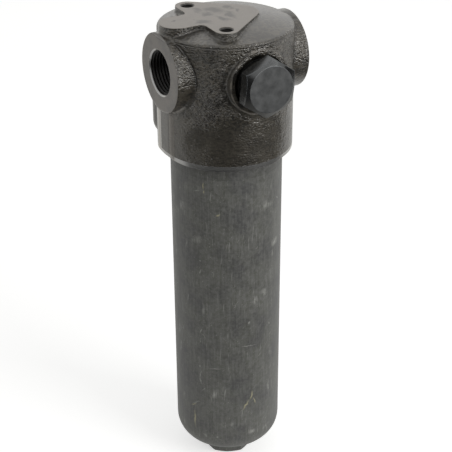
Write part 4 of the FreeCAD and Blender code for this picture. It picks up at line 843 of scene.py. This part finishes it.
class SealSettings(bpy.types.PropertyGroup):
    rubber_colour: tint("Rubber", "Nitrile rubber", "191918")
    ptfe_colour: tint("PTFE", "PTFE backup ring", "ECEAE2")


class InsideSettings(bpy.types.PropertyGroup):
    turned_colour: tint("Turned steel", "Bright turned steel", "B4B0A8")
    zinc_colour: tint("Zinc", "Zinc-plated sheet", "C2C8CC")
    wire_colour: tint("Spring wire", "Oiled spring wire", "57504A")
    cloth_colour: tint("Wire cloth", "Crowns of the woven wire", "BEBAB2")
    cloth_pitch: amount("Cloth pitch", "Distance between the cloth's wires, in mm", 0.8, 0.1, 3.0)
    felt_colour: tint("Felt", "Glass-fibre felt", "DCD2B8")


class StageSettings(bpy.types.PropertyGroup):
    lens: amount("Lens", "Focal length on a 36 mm sensor, in mm", 97.58, 20.0, 300.0)
    floor_colour: tint("Floor", "Pale floor", "F2F2F0")
    key_power: amount("Front softbox", "Power of the lamp to the front right, in W",
                      6.8, 0.0, 100.0, "POWER")
    back_power: amount("Back softbox", "Power of the lamp behind, in W", 1.0, 0.0, 100.0, "POWER")
    surround: amount("Surround", "How much light comes evenly from all round", 0.42, 0.0, 2.0)


# Operators


class PRESSURE_FILTER_OT_dress_head(bpy.types.Operator):
    """Give the cast head its skin, and its milled and turned places theirs"""

    bl_idname = "pressure_filter.dress_head"
    bl_label = "Cast head"

    def execute(self, context):
        dress(oil_blackened_cast_iron(context.scene.filter_head), "head")
        return {"FINISHED"}


class PRESSURE_FILTER_OT_cut_threads(bpy.types.Operator):
    """Cut the pipe threads of both ports and the threads of both mounting holes"""

    bl_idname = "pressure_filter.cut_threads"
    bl_label = "Threads in the head"

    def execute(self, context):
        sizes = context.scene.filter_threads
        finish = tapped_iron(context.scene.filter_head)
        tree = thread_tree()
        ports = grown("port_threads", tree, {
            "Bore Radius": MM * PORT_THREAD_RADIUS, "Ridge": MM * sizes.port_ridge,
            "Pitch": MM * sizes.port_pitch, "Length": MM * (PORT_THREAD_START - PORT_THREAD_END),
            "Steps a Turn": sizes.steps, "Count": 2,
            "First Place": (-MM * PORT_THREAD_START, 0.0, MM * PORT_AXIS_HEIGHT),
            "Step to the Next": (MM * (PORT_THREAD_START + PORT_THREAD_END), 0.0, 0.0),
            "Turn": (0.0, math.pi / 2, 0.0), "Finish": finish})
        holes = grown("mounting_hole_threads", tree, {
            "Bore Radius": MM * HOLE_RADIUS, "Ridge": MM * sizes.hole_ridge,
            "Pitch": MM * sizes.hole_pitch, "Length": MM * (HOLE_DEPTH - HOLE_COUNTERSINK),
            "Steps a Turn": sizes.steps // 2, "Count": 2,
            "First Place": (MM * HOLE_X, -MM * HOLE_Y, -MM * HOLE_DEPTH),
            "Step to the Next": (0.0, 2 * MM * HOLE_Y, 0.0),
            "Turn": (0.0, 0.0, 0.0), "Finish": finish})
        for piece in (ports, holes):
            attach(piece, "head_assembly")
        return {"FINISHED"}


class PRESSURE_FILTER_OT_dress_bowl(bpy.types.Operator):
    """Give the bowl its phosphate coat"""

    bl_idname = "pressure_filter.dress_bowl"
    bl_label = "Bowl"

    def execute(self, context):
        dress(phosphated_steel(context.scene.filter_bowl), "bowl")
        return {"FINISHED"}


class PRESSURE_FILTER_OT_dress_plug(bpy.types.Operator):
    """Give the indicator plug its black oxide"""

    bl_idname = "pressure_filter.dress_plug"
    bl_label = "Indicator plug"

    def execute(self, context):
        dress(black_oxide_steel(context.scene.filter_plug), "indicator_plug")
        return {"FINISHED"}


class PRESSURE_FILTER_OT_dress_seals(bpy.types.Operator):
    """Give the O-rings, the backup ring and the bonded seal their rubber and PTFE"""

    bl_idname = "pressure_filter.dress_seals"
    bl_label = "Seals"

    def execute(self, context):
        seals = context.scene.filter_seals
        dress(nitrile_rubber(seals), "plug_o_ring", "bowl_o_ring", "element_o_ring")
        dress(bonded_seal_finish(seals), "plug_bonded_seal")
        dress(skived_ptfe(seals), "bowl_backup_ring")
        return {"FINISHED"}


class PRESSURE_FILTER_OT_dress_bypass(bpy.types.Operator):
    """Give the bypass valve and the spigot their steels"""

    bl_idname = "pressure_filter.dress_bypass"
    bl_label = "Bypass valve and spigot"

    def execute(self, context):
        inside = context.scene.filter_inside
        dress(bright_turned_steel(inside), "element_spigot", "bypass_seat", "bypass_poppet")
        dress(patented_spring_wire(inside), "bypass_spring", "bypass_retaining_ring")
        dress(zinc_plated_sheet(inside), "bypass_guide")
        return {"FINISHED"}


class PRESSURE_FILTER_OT_dress_element(bpy.types.Operator):
    """Give the filter element its plated sheet, wire cloth and glass-fibre felt"""

    bl_idname = "pressure_filter.dress_element"
    bl_label = "Filter element"

    def execute(self, context):
        inside = context.scene.filter_inside
        dress(zinc_plated_sheet(inside), "element_top_cap", "element_bottom_cap", "element_core",
              "seam_clip")
        dress(woven_wire_cloth(inside), "outer_mesh", "inner_mesh")
        dress(glass_fibre_felt(inside), "filter_medium")
        return {"FINISHED"}


class PRESSURE_FILTER_OT_set_stage(bpy.types.Operator):
    """Lay the floor, set the lamps and place the camera"""

    bl_idname = "pressure_filter.set_stage"
    bl_label = "Stage"

    def execute(self, context):
        settings = context.scene.filter_stage
        lay_floor(settings)
        light_room(settings)
        place_camera(settings)
        return {"FINISHED"}


class PRESSURE_FILTER_PT_panel(bpy.types.Panel):
    """Lists the pieces of the filter and their sizes and colours"""

    bl_idname = "PRESSURE_FILTER_PT_panel"
    bl_label = "Pressure filter"
    bl_space_type = "VIEW_3D"
    bl_region_type = "UI"
    bl_category = "Pressure filter"

    def draw(self, context):
        for operator in OPERATORS:
            self.layout.operator(operator.bl_idname)
        for name, group in SETTINGS.items():
            box = self.layout.box()
            box.label(text=group.bl_rna.name)
            for setting in group.__annotations__:
                box.prop(getattr(context.scene, name), setting)


OPERATORS = (
    PRESSURE_FILTER_OT_dress_head,
    PRESSURE_FILTER_OT_cut_threads,
    PRESSURE_FILTER_OT_dress_bowl,
    PRESSURE_FILTER_OT_dress_plug,
    PRESSURE_FILTER_OT_dress_seals,
    PRESSURE_FILTER_OT_dress_bypass,
    PRESSURE_FILTER_OT_dress_element,
    PRESSURE_FILTER_OT_set_stage,
)
SETTINGS = {
    "filter_head": HeadSettings,
    "filter_threads": ThreadSettings,
    "filter_bowl": BowlSettings,
    "filter_plug": PlugSettings,
    "filter_seals": SealSettings,
    "filter_inside": InsideSettings,
    "filter_stage": StageSettings,
}


# Stage


def stage_sheet(name, corners, faces, paint):
    """A flat thing of the stage with its paint."""
    mesh = bpy.data.meshes.new(name)
    mesh.from_pydata(corners, [], faces)
    mesh.materials.append(paint)
    sheet = new_object(name, mesh)
    return sheet


def seen_or_mirrored(add):
    """Whether the camera sees a point itself, and whether it does so itself, mirrored or through
    glass: 1 or 0."""
    seen = add("LightPath").outputs
    return seen["Is Camera Ray"], combined(
        add, "MAXIMUM", seen["Is Camera Ray"], seen["Is Glossy Ray"], seen["Is Transmission Ray"])


def lay_floor(settings):
    """A wide pale floor under the bowl. The camera sees it white, but for the object's shadow."""
    paint = bpy.data.materials.new("pale_floor")
    add = adder(paint)
    seen, mirrored = seen_or_mirrored(add)
    lit = add("BsdfDiffuse", (settings.floor_colour,))
    level = add("Math", (seen, SEEN_GLOW, combined(add, "MULTIPLY", mirrored, FLOOR_GLOW)),
                operation="MULTIPLY_ADD")
    glow = add("Emission", {"Strength": level})
    add("OutputMaterial", (add("AddShader", (lit, glow)),))
    height = CAD_BOX[0].z - MM * 0.2
    corners = [(FLOOR_REACH * x, FLOOR_REACH * y, height)
               for x, y in ((-1, -1), (1, -1), (1, 1), (-1, 1))]
    stage_sheet("floor", corners, [(0, 1, 2, 3)], paint)


def softbox(name, place, width, height, power):
    """A flat lamp, width by height, turned from its place towards the filter."""
    data = bpy.data.lights.new(name, "AREA")
    data.shape = "RECTANGLE"
    data.size = width
    data.size_y = height
    data.energy = power
    lamp = new_object(name, data)
    towards = (Vector(LAMP_AIM) - Vector(place)).to_track_quat("-Z", "Y")
    lamp.matrix_world = Matrix.Translation(place) @ towards.to_matrix().to_4x4()


def light_room(settings):
    """Even light from all round, a softbox to the front right and one behind, and a black card
    low in front with a flag on either side, which only reflections see."""
    world = bpy.data.worlds.new("studio")
    bpy.context.scene.world = world
    add = adder(world)
    _, plain = seen_or_mirrored(add)
    level = add("MapRange", (plain, 0.0, 1.0, settings.surround, 1.0))
    light = add("Background", (linear("FFFFFF"), level))
    add("OutputWorld", (light,))
    softbox("softbox_front_right", (0.50, -1.0, 0.22), 0.62, 0.48, settings.key_power)
    softbox("softbox_behind", (0.5, 0.95, 0.62), 1.2, 1.2, settings.back_power)

    paper = bpy.data.materials.new("black_card")
    shade(adder(paper), {"Base Color": linear("303030"), "Roughness": 1.0})
    low = CAD_BOX[0].z
    top = low + FLAG_HEIGHT
    corners = [(x, y, low) for x, y in CARD_OUTLINE]
    faces = [tuple(range(len(corners)))]
    for (left, front), (right, back) in CARD_FLAGS:
        first = len(corners)
        faces.append(tuple(range(first, first + 4)))
        corners += [(left, front, low), (right, back, low), (right, back, top), (left, front, top)]
    card = stage_sheet("black_card", corners, faces, paper)
    for way in ("camera", "diffuse", "shadow", "transmission"):
        setattr(card, "visible_" + way, False)


def place_camera(settings):
    """The photograph's viewing angle: to the left of the front, and from above."""
    back = Vector(CAMERA_SIDE).normalized()
    place = Vector(CAMERA_AIM) + CAMERA_DISTANCE * back
    right = Vector(UP).cross(back).normalized()
    top = back.cross(right)
    turned = Matrix((right, top, back)).transposed() @ Matrix.Rotation(CAMERA_ROLL, 3, "Z")
    data = bpy.data.cameras.new("camera")
    data.lens = settings.lens
    data.sensor_width = 36.0
    data.sensor_fit = "HORIZONTAL"
    data.shift_x = CAMERA_SHIFT
    camera = new_object("camera", data)
    camera.matrix_world = Matrix.Translation(place) @ turned.to_4x4()
    bpy.context.scene.camera = camera


# Add-on


def register():
    for kind in (*SETTINGS.values(), *OPERATORS, PRESSURE_FILTER_PT_panel):
        bpy.utils.register_class(kind)
    for name, group in SETTINGS.items():
        setattr(bpy.types.Scene, name, PointerProperty(type=group))


def unregister():
    for name in SETTINGS:
        delattr(bpy.types.Scene, name)
    for kind in (PRESSURE_FILTER_PT_panel, *reversed(OPERATORS), *SETTINGS.values()):
        bpy.utils.unregister_class(kind)


def main():
    register()
    bpy.context.scene.view_settings.view_transform = "Standard"
    steps = bpy.ops.pressure_filter
    steps.dress_head()
    steps.cut_threads()
    steps.dress_bowl()
    steps.dress_plug()
    steps.dress_seals()
    steps.dress_bypass()
    steps.dress_element()
    steps.set_stage()


if __name__ == "__main__":
    main()
